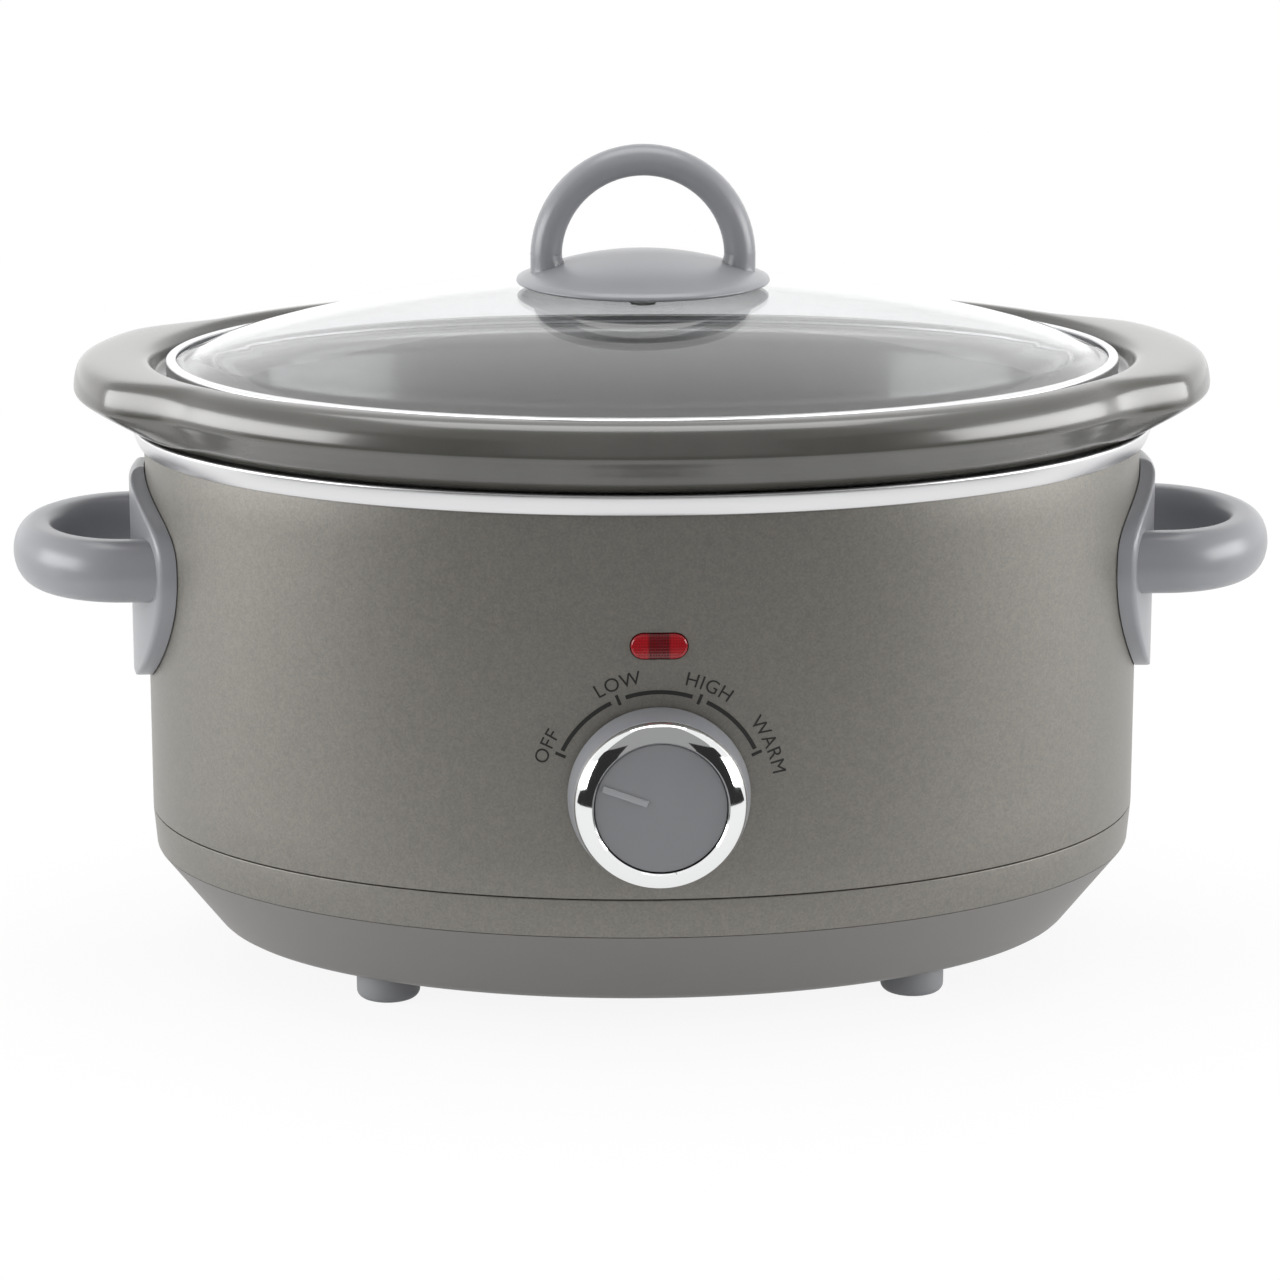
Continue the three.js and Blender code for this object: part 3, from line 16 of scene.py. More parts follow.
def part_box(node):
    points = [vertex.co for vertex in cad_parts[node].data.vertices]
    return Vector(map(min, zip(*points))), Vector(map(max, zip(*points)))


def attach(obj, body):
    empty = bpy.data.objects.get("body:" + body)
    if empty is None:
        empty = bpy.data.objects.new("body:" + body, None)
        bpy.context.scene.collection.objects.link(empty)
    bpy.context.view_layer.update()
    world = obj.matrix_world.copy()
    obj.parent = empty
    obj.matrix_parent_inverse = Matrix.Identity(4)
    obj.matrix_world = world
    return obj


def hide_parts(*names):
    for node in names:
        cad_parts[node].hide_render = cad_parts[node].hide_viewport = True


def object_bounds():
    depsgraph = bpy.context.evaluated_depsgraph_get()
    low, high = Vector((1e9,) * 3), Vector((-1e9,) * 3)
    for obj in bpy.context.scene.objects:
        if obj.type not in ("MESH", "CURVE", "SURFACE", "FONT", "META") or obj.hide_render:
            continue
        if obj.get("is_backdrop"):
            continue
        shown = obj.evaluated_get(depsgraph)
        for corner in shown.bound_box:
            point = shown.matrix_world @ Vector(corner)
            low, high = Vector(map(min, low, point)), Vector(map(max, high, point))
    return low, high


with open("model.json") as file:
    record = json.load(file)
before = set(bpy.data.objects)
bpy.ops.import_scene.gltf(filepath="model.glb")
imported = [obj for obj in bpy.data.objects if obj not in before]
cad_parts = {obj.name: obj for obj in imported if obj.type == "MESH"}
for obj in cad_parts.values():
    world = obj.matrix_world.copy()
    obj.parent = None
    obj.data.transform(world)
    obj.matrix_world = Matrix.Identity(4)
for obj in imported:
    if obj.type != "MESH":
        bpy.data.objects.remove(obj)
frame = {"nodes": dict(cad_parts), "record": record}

construction_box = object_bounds()

# %% [markdown]
# ## One unit for the modelling
# Makers of small appliances draw in millimetres, and Blender's own unit is the metre. Each piece of
# the cooker is modelled in millimetres and scaled once, when it becomes an object, so the numbers
# stay readable. Only the studio round it is in metres. The sizes of the real walls are measured from
# the construction, which keeps both models in step.

# %% Measure the construction in millimetres
MM = 0.001


def reach(node):
    """Lowest and highest corner of a construction node, in millimetres."""
    low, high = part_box(node)
    return low / MM, high / MM


shell_low, shell_high = reach("outer_shell")
band_low, band_high = reach("base_band")
pan_low, pan_high = reach("base_pan")
liner_low, liner_high = reach("heating_liner")
crock_low, crock_high = reach("crock")
MIDDLE_Y = (shell_low.y + shell_high.y) / 2
SHELL = (shell_high.y - shell_low.y) / 2
print(f"shell: {2 * shell_high.x:.0f} long, {2 * SHELL:.0f} deep, "
      f"walls {shell_high.z - shell_low.z:.0f} tall")

# %% [markdown]
# ## The camera
# A long lens from well back draws the near rim hardly larger than the far one, and it looks a little
# down so that the lid shows. The place is given from the frame's origin, on the floor under the
# middle of the cooker, and the two angles are the heading and the downward tilt of the lens.

# %% Place the camera
CAMERA_PLACE = Vector((-54.32, -1340.40, 426.26)) * MM
CAMERA_HEADING = math.radians(2.276)
CAMERA_TILT = math.radians(13.882)
CAMERA_LENS = 127.59


def in_scene(name, data):
    """A new object in the scene that shows a mesh, a lamp, a text or a camera."""
    thing = bpy.data.objects.new(name, data)
    bpy.context.scene.collection.objects.link(thing)
    return thing


camera = in_scene("camera", bpy.data.cameras.new("camera"))
camera.data.lens = CAMERA_LENS
camera.location = CAMERA_PLACE
camera.rotation_euler = (math.pi / 2 - CAMERA_TILT, 0, -CAMERA_HEADING)
bpy.context.scene.camera = camera
print(f"camera {camera.location.length:.2f} m away, {CAMERA_LENS:.0f} mm lens")

# %% [markdown]
# ## Turning a wall
# Nearly every wall of this cooker could be thrown on a wheel: a flat outline, carried once round.
# The outline is drawn as one face, because Blender rounds the corners of a face with its bevel.
# Then the face goes, its rim stays, and the spin sweeps the rim into a closed skin. An edge that
# lies on the axis goes too, because it would be swept into a line.

# %% Turn an outline about the z axis
AROUND = 160
ON_AXIS = 1e-6
WELD = 0.002


def turned(points, around=AROUND, rounds=4):
    """A closed skin from an outline of (radius, height) or (radius, height, rounding) points."""
    mesh = bmesh.new()
    corners = [mesh.verts.new((radius, 0, height)) for radius, height, *_ in points]
    mesh.faces.new(corners)
    for corner, point in zip(corners, points):
        if len(point) == 3:
            bmesh.ops.bevel(mesh, geom=[corner], offset=point[2], offset_type="OFFSET",
                            segments=rounds, profile=0.5, affect="VERTICES", material=-1)
    bmesh.ops.delete(mesh, geom=mesh.faces[:], context="FACES_ONLY")
    on_axis = [edge for edge in mesh.edges if all(abs(vert.co.x) < ON_AXIS for vert in edge.verts)]
    bmesh.ops.delete(mesh, geom=on_axis, context="EDGES")
    spin_about_z(mesh, around)
    return mesh


def spin_about_z(mesh, around):
    """Sweeps the drawn edges once round the z axis, welds the seam and turns the faces outwards."""
    bmesh.ops.spin(mesh, geom=mesh.verts[:] + mesh.edges[:], cent=(0, 0, 0), axis=(0, 0, 1),
                   dvec=(0, 0, 0), angle=math.tau, steps=around, use_merge=True, use_duplicate=False)
    bmesh.ops.remove_doubles(mesh, verts=mesh.verts, dist=WELD)
    bmesh.ops.recalc_face_normals(mesh, faces=mesh.faces)


# %% [markdown]
# ## From round to oval
# The cooker is an oval whose walls keep one width all the way round, as bent sheet does. A turned
# ring becomes that oval when its length grows by the same amount whatever its radius. Towards the
# middle that would tear a floor apart, so inside a core radius the floor keeps the oval's shape.

# %% Stretch a turned piece into the oval
CORE = 88
LONGER = shell_high.x - SHELL


def moved(mesh, *by):
    """Moves a mesh by x, y and z, in millimetres."""
    bmesh.ops.translate(mesh, vec=by, verts=mesh.verts)
    return mesh


def oval(mesh):
    """Stretches a turned mesh along x into the cooker's oval and moves it to its middle."""
    for vert in mesh.verts:
        radius = math.hypot(vert.co.x, vert.co.y)
        vert.co.x *= 1 + LONGER / max(radius, CORE)
    return moved(mesh, 0, MIDDLE_Y, 0)


def wall_x(radius, y):
    """How far out the oval of that radius lies at a distance y from its long axis."""
    return (radius + LONGER) * math.sqrt(1 - (y / radius) ** 2)


def wall_y(radius, x):
    """How far forward the oval of that radius lies at a distance x from its short axis."""
    return radius * math.sqrt(1 - (x / (radius + LONGER)) ** 2)


print(f"every wall is {LONGER:.0f} longer than it is deep, counted from the middle")

# %% [markdown]
# ## Joining and cutting
# Real pieces are drilled, slotted and welded. Blender's Boolean modifier does the same to closed
# meshes. It works on objects, so both meshes are lent to two objects and the answer is read back.
# The cut can leave slivers too thin to see, and they are dissolved.

# %% Combine two closed meshes
SLIVER = 0.001


def to_data(name, mesh):
    """Hands a bmesh over to one of Blender's own meshes; the bmesh is used up."""
    data = bpy.data.meshes.new(name)
    mesh.to_mesh(data)
    mesh.free()
    return data


def combined(mesh, operation, tool):
    """The UNION or DIFFERENCE of two closed meshes; both are used up."""
    lent = [in_scene("lent", to_data("lent", part)) for part in (mesh, tool)]
    change = lent[0].modifiers.new("combine", "BOOLEAN")
    change.operation = operation
    change.solver = "EXACT"
    change.object = lent[1]
    seen = lent[0].evaluated_get(bpy.context.evaluated_depsgraph_get())
    answer = bmesh.new()
    answer.from_mesh(seen.to_mesh())
    bmesh.ops.dissolve_degenerate(answer, edges=answer.edges[:], dist=SLIVER)
    for thing in lent:
        bpy.data.meshes.remove(thing.data)
    return answer


def rod(mesh, radius, start, end, sides=32):
    """Adds a closed round rod between two points to a mesh."""
    start, end = Vector(start), Vector(end)
    along = end - start
    turn = along.to_track_quat("Z", "Y").to_matrix().to_4x4()
    bmesh.ops.create_cone(mesh, cap_ends=True, segments=sides, radius1=radius, radius2=radius,
                          depth=along.length, matrix=Matrix.Translation((start + end) / 2) @ turn)
    return mesh


# %% [markdown]
# ## From mesh to piece
# A finished mesh becomes an object at the origin. It is shaded smooth, and only edges that turn by
# more than a given angle stay crisp. Then it takes its finish, rides on a body of the construction
# and stands for the plain nodes that it replaces.

# %% Make a piece of the cooker
CRISP = 34


def piece(name, mesh, finish, body, stands_for=(), crisp=CRISP):
    """Scales a mesh from millimetres to metres and seats it on its body as a named object."""
    bmesh.ops.scale(mesh, vec=(MM, MM, MM), verts=mesh.verts)
    data = to_data(name, mesh)
    data.shade_smooth()
    data.set_sharp_from_angle(angle=math.radians(crisp))
    data.materials.append(finish)
    thing = in_scene(name, data)
    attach(thing, body)
    if stands_for:
        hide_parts(*stands_for)
    print(f"{name}: {len(data.polygons)} faces")
    return thing


# %% [markdown]
# ## Tools for finishes
# Colours are written as sRGB hex, as a paint chart gives them, and Blender's shaders want linear
# light. One function turns the one into the other. A second adds a node, fills its sockets with
# values or links, and is all that the node trees below need. Pattern sizes are given in millimetres.

# %% Colour, node and scale helpers
def linear(code):
    """An sRGB hex colour as linear red, green, blue and alpha."""
    parts = [int(code[i:i + 2], 16) / 255 for i in (1, 3, 5)]
    return [c / 12.92 if c <= 0.04045 else ((c + 0.055) / 1.055) ** 2.4 for c in parts] + [1]


def add(tree, kind, inputs=None, **settings):
    """Adds a shader node with its settings, and fills each input with a value or a link."""
    node = tree.nodes.new("ShaderNode" + kind)
    for name, value in settings.items():
        setattr(node, name, value)
    for socket, value in (inputs or {}).items():
        if isinstance(value, bpy.types.NodeSocket):
            tree.links.new(value, node.inputs[socket])
        else:
            node.inputs[socket].default_value = value
    return node


def blank(name):
    """An empty material, its node tree, and the piece's own coordinates in metres."""
    material = bpy.data.materials.new(name)
    material.use_nodes = True
    material.node_tree.nodes.clear()
    return material, material.node_tree, add(material.node_tree, "TexCoord").outputs["Object"]


def every(size):
    """The texture scale at which a pattern repeats about every so many millimetres."""
    return 1 / (size * MM)


def cover(tree, inputs):
    """Adds the surface shader and sends it to the output."""
    shader = add(tree, "BsdfPrincipled", inputs)
    add(tree, "OutputMaterial", {"Surface": shader.outputs["BSDF"]})


# %% [markdown]
# ## Sprayed metallic paint
# The shell is drawn steel, sprayed with a warm grey paint that carries aluminium flake. Up close the
# flakes lie at slightly different angles, so each one is a little lighter or darker than the next,
# and the film has the soft ripple of a sprayed coat. Real flakes are some 0.05 mm across, far too
# fine to show, so the pattern is drawn about ten times coarser. The metallic share lets the paint
# take its light and dark from the room, and a satin clear coat keeps that light neutral.

# %% Finish: metallic paint on steel
def metallic_paint():
    material, tree, where = blank("metallic_paint_sprayed")
    flake = add(tree, "TexVoronoi", {"Vector": where, "Scale": every(0.55)})
    cloud = add(tree, "TexNoise", {"Vector": where, "Scale": every(2.2), "Detail": 3.0})
    speckle = add(tree, "Mix", {0: 0.45, 2: flake.outputs["Color"], 3: cloud.outputs["Fac"]})
    tone = add(tree, "Mix", {0: speckle.outputs[0], 6: linear("#6a6863"), 7: linear("#85827b")},
               data_type="RGBA")
    ripple = add(tree, "TexNoise", {"Vector": where, "Scale": every(1.1), "Detail": 2.0})
    film = add(tree, "Bump", {"Height": ripple.outputs["Fac"], "Strength": 0.12,
                              "Distance": 0.05 * MM})
    gloss = add(tree, "MapRange", {"Value": speckle.outputs[0], "To Min": 0.40, "To Max": 0.50})
    cover(tree, {"Base Color": tone.outputs[2], "Metallic": 0.55, "Normal": film.outputs["Normal"],
                 "Roughness": gloss.outputs["Result"], "Coat Weight": 0.25, "Coat Roughness": 0.35})
    return material


# %% [markdown]
# ## Moulded plastics
# The handles and knob are ABS from a fine-blasted mould: a close satin skin that still gives a soft
# highlight. The pan under the cooker is polypropylene with a slightly duller, waxier skin. Both are
# one colour through, so the eye gets its cues from the grain of the mould and a faint flow mottle.
# Real grain is some 0.1 mm across, so here and below it is drawn several times coarser, to show.

# %% Finish: ABS and polypropylene
FLOW = 18
GLOSS_DRIFT = 0.03


def moulded(name, colour, shade, roughness, grain, depth):
    """A moulded plastic: two near colours in a slow mottle, with the fine grain of the mould."""
    material, tree, where = blank(name)
    flow = add(tree, "TexNoise", {"Vector": where, "Scale": every(FLOW), "Detail": 2.0})
    tone = add(tree, "Mix", {0: flow.outputs["Fac"], 6: linear(colour), 7: linear(shade)},
               data_type="RGBA")
    blast = add(tree, "TexNoise", {"Vector": where, "Scale": every(grain), "Detail": 2.0})
    skin = add(tree, "Bump", {"Height": blast.outputs["Fac"], "Strength": 0.15,
                              "Distance": depth * MM})
    gloss = add(tree, "MapRange", {"Value": flow.outputs["Fac"],
                                   "To Min": roughness - GLOSS_DRIFT,
                                   "To Max": roughness + GLOSS_DRIFT})
    cover(tree, {"Base Color": tone.outputs[2], "Roughness": gloss.outputs["Result"],
                 "Normal": skin.outputs["Normal"], "IOR": 1.53})
    return material


# %% [markdown]
# ## Bright metals
# The liner's rim and the lid's ring are stainless steel, rolled and buffed along their length, so
# hair-thin lines run round the cooker. The lines are a noise drawn out along x and y and left alone
# along z. Real ones are some 0.05 mm apart, so they are drawn ten times coarser. The ring on the
# knob is plated plastic, which has no grain at all and mirrors the room. The sheets, screws and foil
# inside show the crystals of their coats as a patchwork of tones.

# %% Finish: buffed steel, chromium plate and coated sheet
DRAWN_OUT = 0.03


def buffed_steel():
    material, tree, where = blank("stainless_steel_buffed")
    along = add(tree, "Mapping", {"Vector": where, "Scale": (DRAWN_OUT, DRAWN_OUT, 1)})
    lines = add(tree, "TexNoise", {"Vector": along.outputs["Vector"], "Scale": every(0.5),
                                   "Detail": 3.0})
    hairs = add(tree, "Bump", {"Height": lines.outputs["Fac"], "Strength": 0.08,
                               "Distance": 0.03 * MM})
    gloss = add(tree, "MapRange", {"Value": lines.outputs["Fac"], "To Min": 0.28, "To Max": 0.40})
    cover(tree, {"Base Color": linear("#e6e6e7"), "Metallic": 1.0,
                 "Normal": hairs.outputs["Normal"], "Roughness": gloss.outputs["Result"]})
    return material


def chromium_plate():
    material, tree, where = blank("chromium_plate_on_plastic")
    wave = add(tree, "TexNoise", {"Vector": where, "Scale": every(9)})
    gloss = add(tree, "MapRange", {"Value": wave.outputs["Fac"], "To Min": 0.04, "To Max": 0.08})
    cover(tree, {"Base Color": linear("#eceded"), "Metallic": 1.0,
                 "Roughness": gloss.outputs["Result"]})
    return material


def plated_steel(name, light, dark, crystal):
    """Plated or coated sheet: a patchwork of crystals, each with its own tone and gloss."""
    material, tree, where = blank(name)
    spangle = add(tree, "TexVoronoi", {"Vector": where, "Scale": every(crystal)})
    tone = add(tree, "Mix", {0: spangle.outputs["Color"], 6: linear(dark), 7: linear(light)},
               data_type="RGBA")
    gloss = add(tree, "MapRange", {"Value": spangle.outputs["Color"], "To Min": 0.3,
                                   "To Max": 0.45})
    cover(tree, {"Base Color": tone.outputs[2], "Metallic": 1.0,
                 "Roughness": gloss.outputs["Result"]})
    return material


# %% [markdown]
# ## Glazed stoneware
# The crock is fired clay under a thick dark glaze. Molten glaze pools and thins as it runs, so its
# tone drifts over a few centimetres and its surface is glass-smooth but never quite flat. A little
# wax-like dimple, like orange peel, breaks the highlights. A clear coat gives the wet gloss.

# %% Finish: stoneware glaze
def stoneware_glaze():
    material, tree, where = blank("stoneware_glazed")
    pooling = add(tree, "TexNoise", {"Vector": where, "Scale": every(26), "Detail": 3.0})
    tone = add(tree, "Mix", {0: pooling.outputs["Fac"], 6: linear("#403f3c"), 7: linear("#51504c")},
               data_type="RGBA")
    peel = add(tree, "TexNoise", {"Vector": where, "Scale": every(5), "Detail": 1.0})
    skin = add(tree, "Bump", {"Height": peel.outputs["Fac"], "Strength": 0.1, "Distance": 0.25 * MM})
    cover(tree, {"Base Color": tone.outputs[2], "Roughness": 0.25, "Normal": skin.outputs["Normal"],
                 "IOR": 1.6, "Coat Weight": 0.5, "Coat Roughness": 0.12})
    return material


# %% [markdown]
# ## Glass and the red lens
# The lid is tempered glass with a real thickness, so one clear shader bends light at both faces.
# Lamps could not shine through it on their own, so rays that test for shadow pass a clear shader
# instead, tinted as a second face would tint them. The lens is red polycarbonate whose back is
# moulded in a fine grid that scatters the lamp; the grid is a pair of crossed waves, and Blender's
# wave draws some 3.18 bands at a scale of one. The shade of the unlit neon lamp behind the middle
# is painted into the lens's own colour as a darker block.

# %% Finish: lid glass and red lens
BANDS_AT_ONE = 3.18
RIB_SCALE = every(0.8) / BANDS_AT_ONE
# Painted shade of the lamp behind: the lens's red is darker near its middle and fades to the full
# red between these two distances from the middle, in millimetres.
LAMP_SHADE_FULL, LAMP_SHADE_GONE = 2.7, 3.3


def lid_glass():
    material, tree, where = blank("soda_glass_tempered")
    sag = add(tree, "TexNoise", {"Vector": where, "Scale": every(60)})
    wave = add(tree, "Bump", {"Height": sag.outputs["Fac"], "Strength": 0.05, "Distance": 0.1 * MM})
    glass = add(tree, "BsdfPrincipled", {
        "Base Color": linear("#fbfcfd"), "Roughness": 0.0, "IOR": 1.52,
        "Transmission Weight": 1.0, "Normal": wave.outputs["Normal"]})
    clear = add(tree, "BsdfTransparent", {"Color": linear("#f4f6f7")})
    rays = add(tree, "LightPath")
    both = add(tree, "MixShader", {0: rays.outputs["Is Shadow Ray"], 1: glass.outputs["BSDF"],
                                   2: clear.outputs["BSDF"]})
    add(tree, "OutputMaterial", {"Surface": both.outputs["Shader"]})
    return material


def red_lens():
    material, tree, where = blank("polycarbonate_red_moulded")
    upright = add(tree, "TexWave", {"Vector": where, "Scale": RIB_SCALE}, bands_direction="X")
    level = add(tree, "TexWave", {"Vector": where, "Scale": RIB_SCALE}, bands_direction="Z")
    grid = add(tree, "Math", {0: upright.outputs["Fac"], 1: level.outputs["Fac"]},
               operation="MAXIMUM")
    ribs = add(tree, "Bump", {"Height": grid.outputs["Value"], "Strength": 0.3,
                              "Distance": 0.08 * MM})
    across = add(tree, "SeparateXYZ", {"Vector": where})
    offset = add(tree, "Math", {0: across.outputs["X"]}, operation="ABSOLUTE")
    lamp = add(tree, "MapRange", {"Value": offset.outputs["Value"], "From Min": LAMP_SHADE_FULL * MM,
                                  "From Max": LAMP_SHADE_GONE * MM})
    ribbed = add(tree, "Mix", {0: grid.outputs["Value"], 6: linear("#7c0d15"), 7: linear("#a3121c")},
                 data_type="RGBA")
    # The darker red painted where the unlit lamp behind shades the lens.
    painted_lamp_shade_red = add(tree, "Mix", {0: grid.outputs["Value"], 6: linear("#420a0e"), 7: linear("#6a0f15")},
              data_type="RGBA")
    tone = add(tree, "Mix", {0: lamp.outputs["Result"], 6: painted_lamp_shade_red.outputs[2], 7: ribbed.outputs[2]},
               data_type="RGBA")
    cover(tree, {"Base Color": tone.outputs[2], "Roughness": 0.12, "IOR": 1.58,
                 "Transmission Weight": 0.2, "Normal": ribs.outputs["Normal"]})
    return material


# %% [markdown]
# ## The plain trades
# What remains is printing ink, rubber, ceramic, the lamp's glass, brass and the sleeving of the
# leads. None is ever a flat colour: each gets a slow drift of tone and its own fine tooth from the
# moulded recipe, or the crystals of the plated one. A moulded line gives two near colours, the
# roughness, and the size and depth of the grain in millimetres. A plated one gives its two tones and
# the size of a crystal.

# %% Finish: everything else, by the slot that the construction names
FINISHES = {
    "shell_paint": metallic_paint(),
    "handle_plastic": moulded("abs_satin_moulded", "#808185", "#87888c", 0.3, 0.5, 0.02),
    "base_plastic": moulded("polypropylene_moulded", "#6b6967", "#716f6d", 0.46, 0.6, 0.03),
    "bright_steel": buffed_steel(),
    "bright_chrome": chromium_plate(),
    "crock_glaze": stoneware_glaze(),
    "lid_glass": lid_glass(),
    "pale_silicone": moulded("silicone_pale_moulded", "#d2d4d6", "#dcdedf", 0.4, 0.8, 0.02),
    "grey_rubber": moulded("silicone_rubber_moulded", "#808184", "#88898c", 0.62, 0.8, 0.03),
    "black_plastic": moulded("phenolic_black_moulded", "#1b1b1c", "#252526", 0.5, 0.8, 0.03),
    "zinc_steel": plated_steel("zinc_plated_steel", "#c6c5bf", "#a9a8a2", 1.6),
    "red_lens": red_lens(),
    "lamp_glass": moulded("neon_lamp_glass", "#f0b184", "#e9a070", 0.1, 4, 0.01),
    "heater_foil": plated_steel("aluminium_foil_rolled", "#d5d6d8", "#bcbdc0", 3),
    "shield_steel": plated_steel("aluminised_steel_sheet", "#bfc0c1", "#a3a4a5", 5),
    "white_ceramic": moulded("steatite_fired", "#e4e0d6", "#d8d3c8", 0.55, 0.5, 0.03),
    "plated_brass": plated_steel("nickel_plated_brass", "#d0c7a4", "#b9ae88", 1.2),
    "lead_sleeve_brown": moulded("silicone_sleeve_brown", "#5a3420", "#66402a", 0.55, 0.7, 0.04),
    "lead_sleeve_blue": moulded("silicone_sleeve_blue", "#274a8c", "#335798", 0.55, 0.7, 0.04),
    "lead_sleeve_red": moulded("silicone_sleeve_red", "#8f231d", "#9c3029", 0.55, 0.7, 0.04),
}
CAP_SKIN = moulded("abs_satin_knob_cap", "#727376", "#7a7b7e", 0.42, 0.6, 0.012)
POINTER_SKIN = moulded("abs_polished_pointer", "#87888b", "#8f9093", 0.22, 0.5, 0.01)
PRINT = moulded("screen_ink_printed", "#12110f", "#1a1917", 0.65, 0.3, 0.01)
print(len(FINISHES), "finishes by slot, two more for the knob and a printing ink")


def in_finish(name, mesh, slot, body, stands_for=(), crisp=CRISP):
    """A piece whose finish is the one kept for its slot."""
    return piece(name, mesh, FINISHES[slot], body, stands_for, crisp)


# %% [markdown]
# ## Outer shell
# A single band of 1 mm steel, rolled into the oval and pierced for the lamp, the switch, the cord
# and the handles. It could be a plain cylinder with a thickness, but the two edges catch light, so
# the outline is rounded there. It is sliced level just above and below the slot for the lamp and
# each hole, so that cutting them disturbs only narrow strips of the smooth wall.

# %% Measure the shell's openings
SHELL_WALL = 1.0
PIERCE = 4
STRIP_MARGIN = 1
knob_low, knob_high = reach("knob_body")
KNOB_Z = (knob_low.z + knob_high.z) / 2
gland_low, gland_high = reach("cord_gland")
GLAND_Z = (gland_low.z + gland_high.z) / 2
lens_low, lens_high = reach("indicator_lens")
LENS_Z = (lens_low.z + lens_high.z) / 2
LENS_LENGTH, LENS_WIDTH = 16, 7.2
PLAY = 0.3
FRONT_Y = MIDDLE_Y - SHELL
BACK_Y = MIDDLE_Y + SHELL
END_X = SHELL + LONGER
BUSH_HOLE, GLAND_HOLE, BOSS_HOLE = 5.3, 6.5, 4.8
HANDLE_FIXINGS = (shell_high.z - 20.6, shell_high.z - 58.6)
print(f"knob at {KNOB_Z:.1f}, lens at {LENS_Z:.1f} and gland at {GLAND_Z:.1f} above the floor")


# %% Shape a slot, and stand a piece up on the shell's front
NEARLY_HALF = 0.499


def verts_in(geom):
    """The vertices among what an operator made."""
    return [item for item in geom if isinstance(item, bmesh.types.BMVert)]


def stadium(length, width, depth):
    """A closed block with half-round ends, its long way along x, standing on z from 0 to depth."""
    mesh = bmesh.new()
    bmesh.ops.create_grid(mesh, x_segments=1, y_segments=1, size=0.5)
    bmesh.ops.scale(mesh, vec=(length, width, 1), verts=mesh.verts)
    bmesh.ops.bevel(mesh, geom=mesh.verts[:], offset=width * NEARLY_HALF, offset_type="OFFSET",
                    segments=12, profile=0.5, affect="VERTICES", material=-1)
    grown = bmesh.ops.extrude_face_region(mesh, geom=mesh.faces[:])["geom"]
    bmesh.ops.translate(mesh, vec=(0, 0, depth), verts=verts_in(grown))
    bmesh.ops.recalc_face_normals(mesh, faces=mesh.faces)
    return mesh


def facing_front(mesh, height):
    """Turns a mesh made upwards so that it faces forwards, on the shell's front at a height."""
    turn = Matrix.Translation((0, FRONT_Y, height)) @ Matrix.Rotation(math.pi / 2, 4, "X")
    bmesh.ops.transform(mesh, matrix=turn, verts=mesh.verts)
    return mesh


# %% Model the outer shell
shell = oval(turned([
    (SHELL - SHELL_WALL, shell_low.z),
    (SHELL, shell_low.z, 0.35),
    (SHELL, shell_high.z, 0.35),
    (SHELL - SHELL_WALL, shell_high.z),
]))
pierced = [(LENS_Z, LENS_WIDTH / 2), (KNOB_Z, BUSH_HOLE), (GLAND_Z, GLAND_HOLE)]
pierced += [(height, BOSS_HOLE) for height in HANDLE_FIXINGS]
levels = [height + way * (reached + STRIP_MARGIN) for height, reached in pierced for way in (-1, 1)]
for level in levels:
    bmesh.ops.bisect_plane(shell, geom=shell.verts[:] + shell.edges[:] + shell.faces[:],
                           plane_co=(0, 0, level), plane_no=(0, 0, 1))
drills = rod(bmesh.new(), BUSH_HOLE, (0, FRONT_Y - PIERCE, KNOB_Z), (0, FRONT_Y + PIERCE, KNOB_Z))
rod(drills, GLAND_HOLE, (0, BACK_Y - PIERCE, GLAND_Z), (0, BACK_Y + PIERCE, GLAND_Z))
for side in (-1, 1):
    for height in HANDLE_FIXINGS:
        rod(drills, BOSS_HOLE, (side * (END_X - PIERCE), MIDDLE_Y, height),
            (side * (END_X + PIERCE), MIDDLE_Y, height))
shell = combined(shell, "DIFFERENCE", drills)
slot = moved(stadium(LENS_LENGTH + 2 * PLAY, LENS_WIDTH + 2 * PLAY, 2 * PIERCE), 0, 0, -PIERCE)
shell = combined(shell, "DIFFERENCE", facing_front(slot, LENS_Z))
in_finish("painted_shell", shell, "shell_paint", "base", ["outer_shell"])

# %% [markdown]
# ## Painted band and base pan
# Under the shell a painted band tapers in and turns under to the pan, and the two meet at a fine
# step that throws the dark line round the foot of the cooker. Both are turned. The pan's floor is
# slotted to let heat out, and the screws of the feet and the tie bolt pass through it.

# %% Model the painted band
BAND_FOOT_OUT = SHELL - 1
BAND_WALL = 1.3
band = oval(turned([
    (BAND_FOOT_OUT - BAND_WALL, band_low.z),
    (BAND_FOOT_OUT, band_low.z, 0.4),
    (SHELL, band_high.z, 0.3),
    (BAND_FOOT_OUT - BAND_WALL, band_high.z),
]))
in_finish("painted_band", band, "shell_paint", "base", ["base_band"])

# %% Turn the pan
PAN_WALL = 2.5
PAN_FOOT_OUT = SHELL - 21
SEAM = 0.1
PAN_EDGE_OUT = BAND_FOOT_OUT - SEAM
PAN_RISE_OUT = BAND_FOOT_OUT - BAND_WALL - PLAY
PAN_SHOULDER = band_low.z - SEAM
pan_floor = pan_low.z + PAN_WALL
pan = oval(turned([
    (0, pan_low.z),
    (PAN_FOOT_OUT, pan_low.z, 3.4),
    (PAN_EDGE_OUT, PAN_SHOULDER, 0.4),
    (PAN_RISE_OUT, PAN_SHOULDER),
    (PAN_RISE_OUT, pan_high.z, 0.5),
    (PAN_RISE_OUT - PAN_WALL, pan_high.z, 0.5),
    (PAN_RISE_OUT - PAN_WALL, PAN_SHOULDER - PAN_WALL / 2, 1),
    (PAN_FOOT_OUT - PAN_WALL, pan_floor, 3),
    (0, pan_floor),
]))
print(f"pan: {pan_high.z - pan_low.z:.1f} tall, its floor {PAN_WALL} thick")

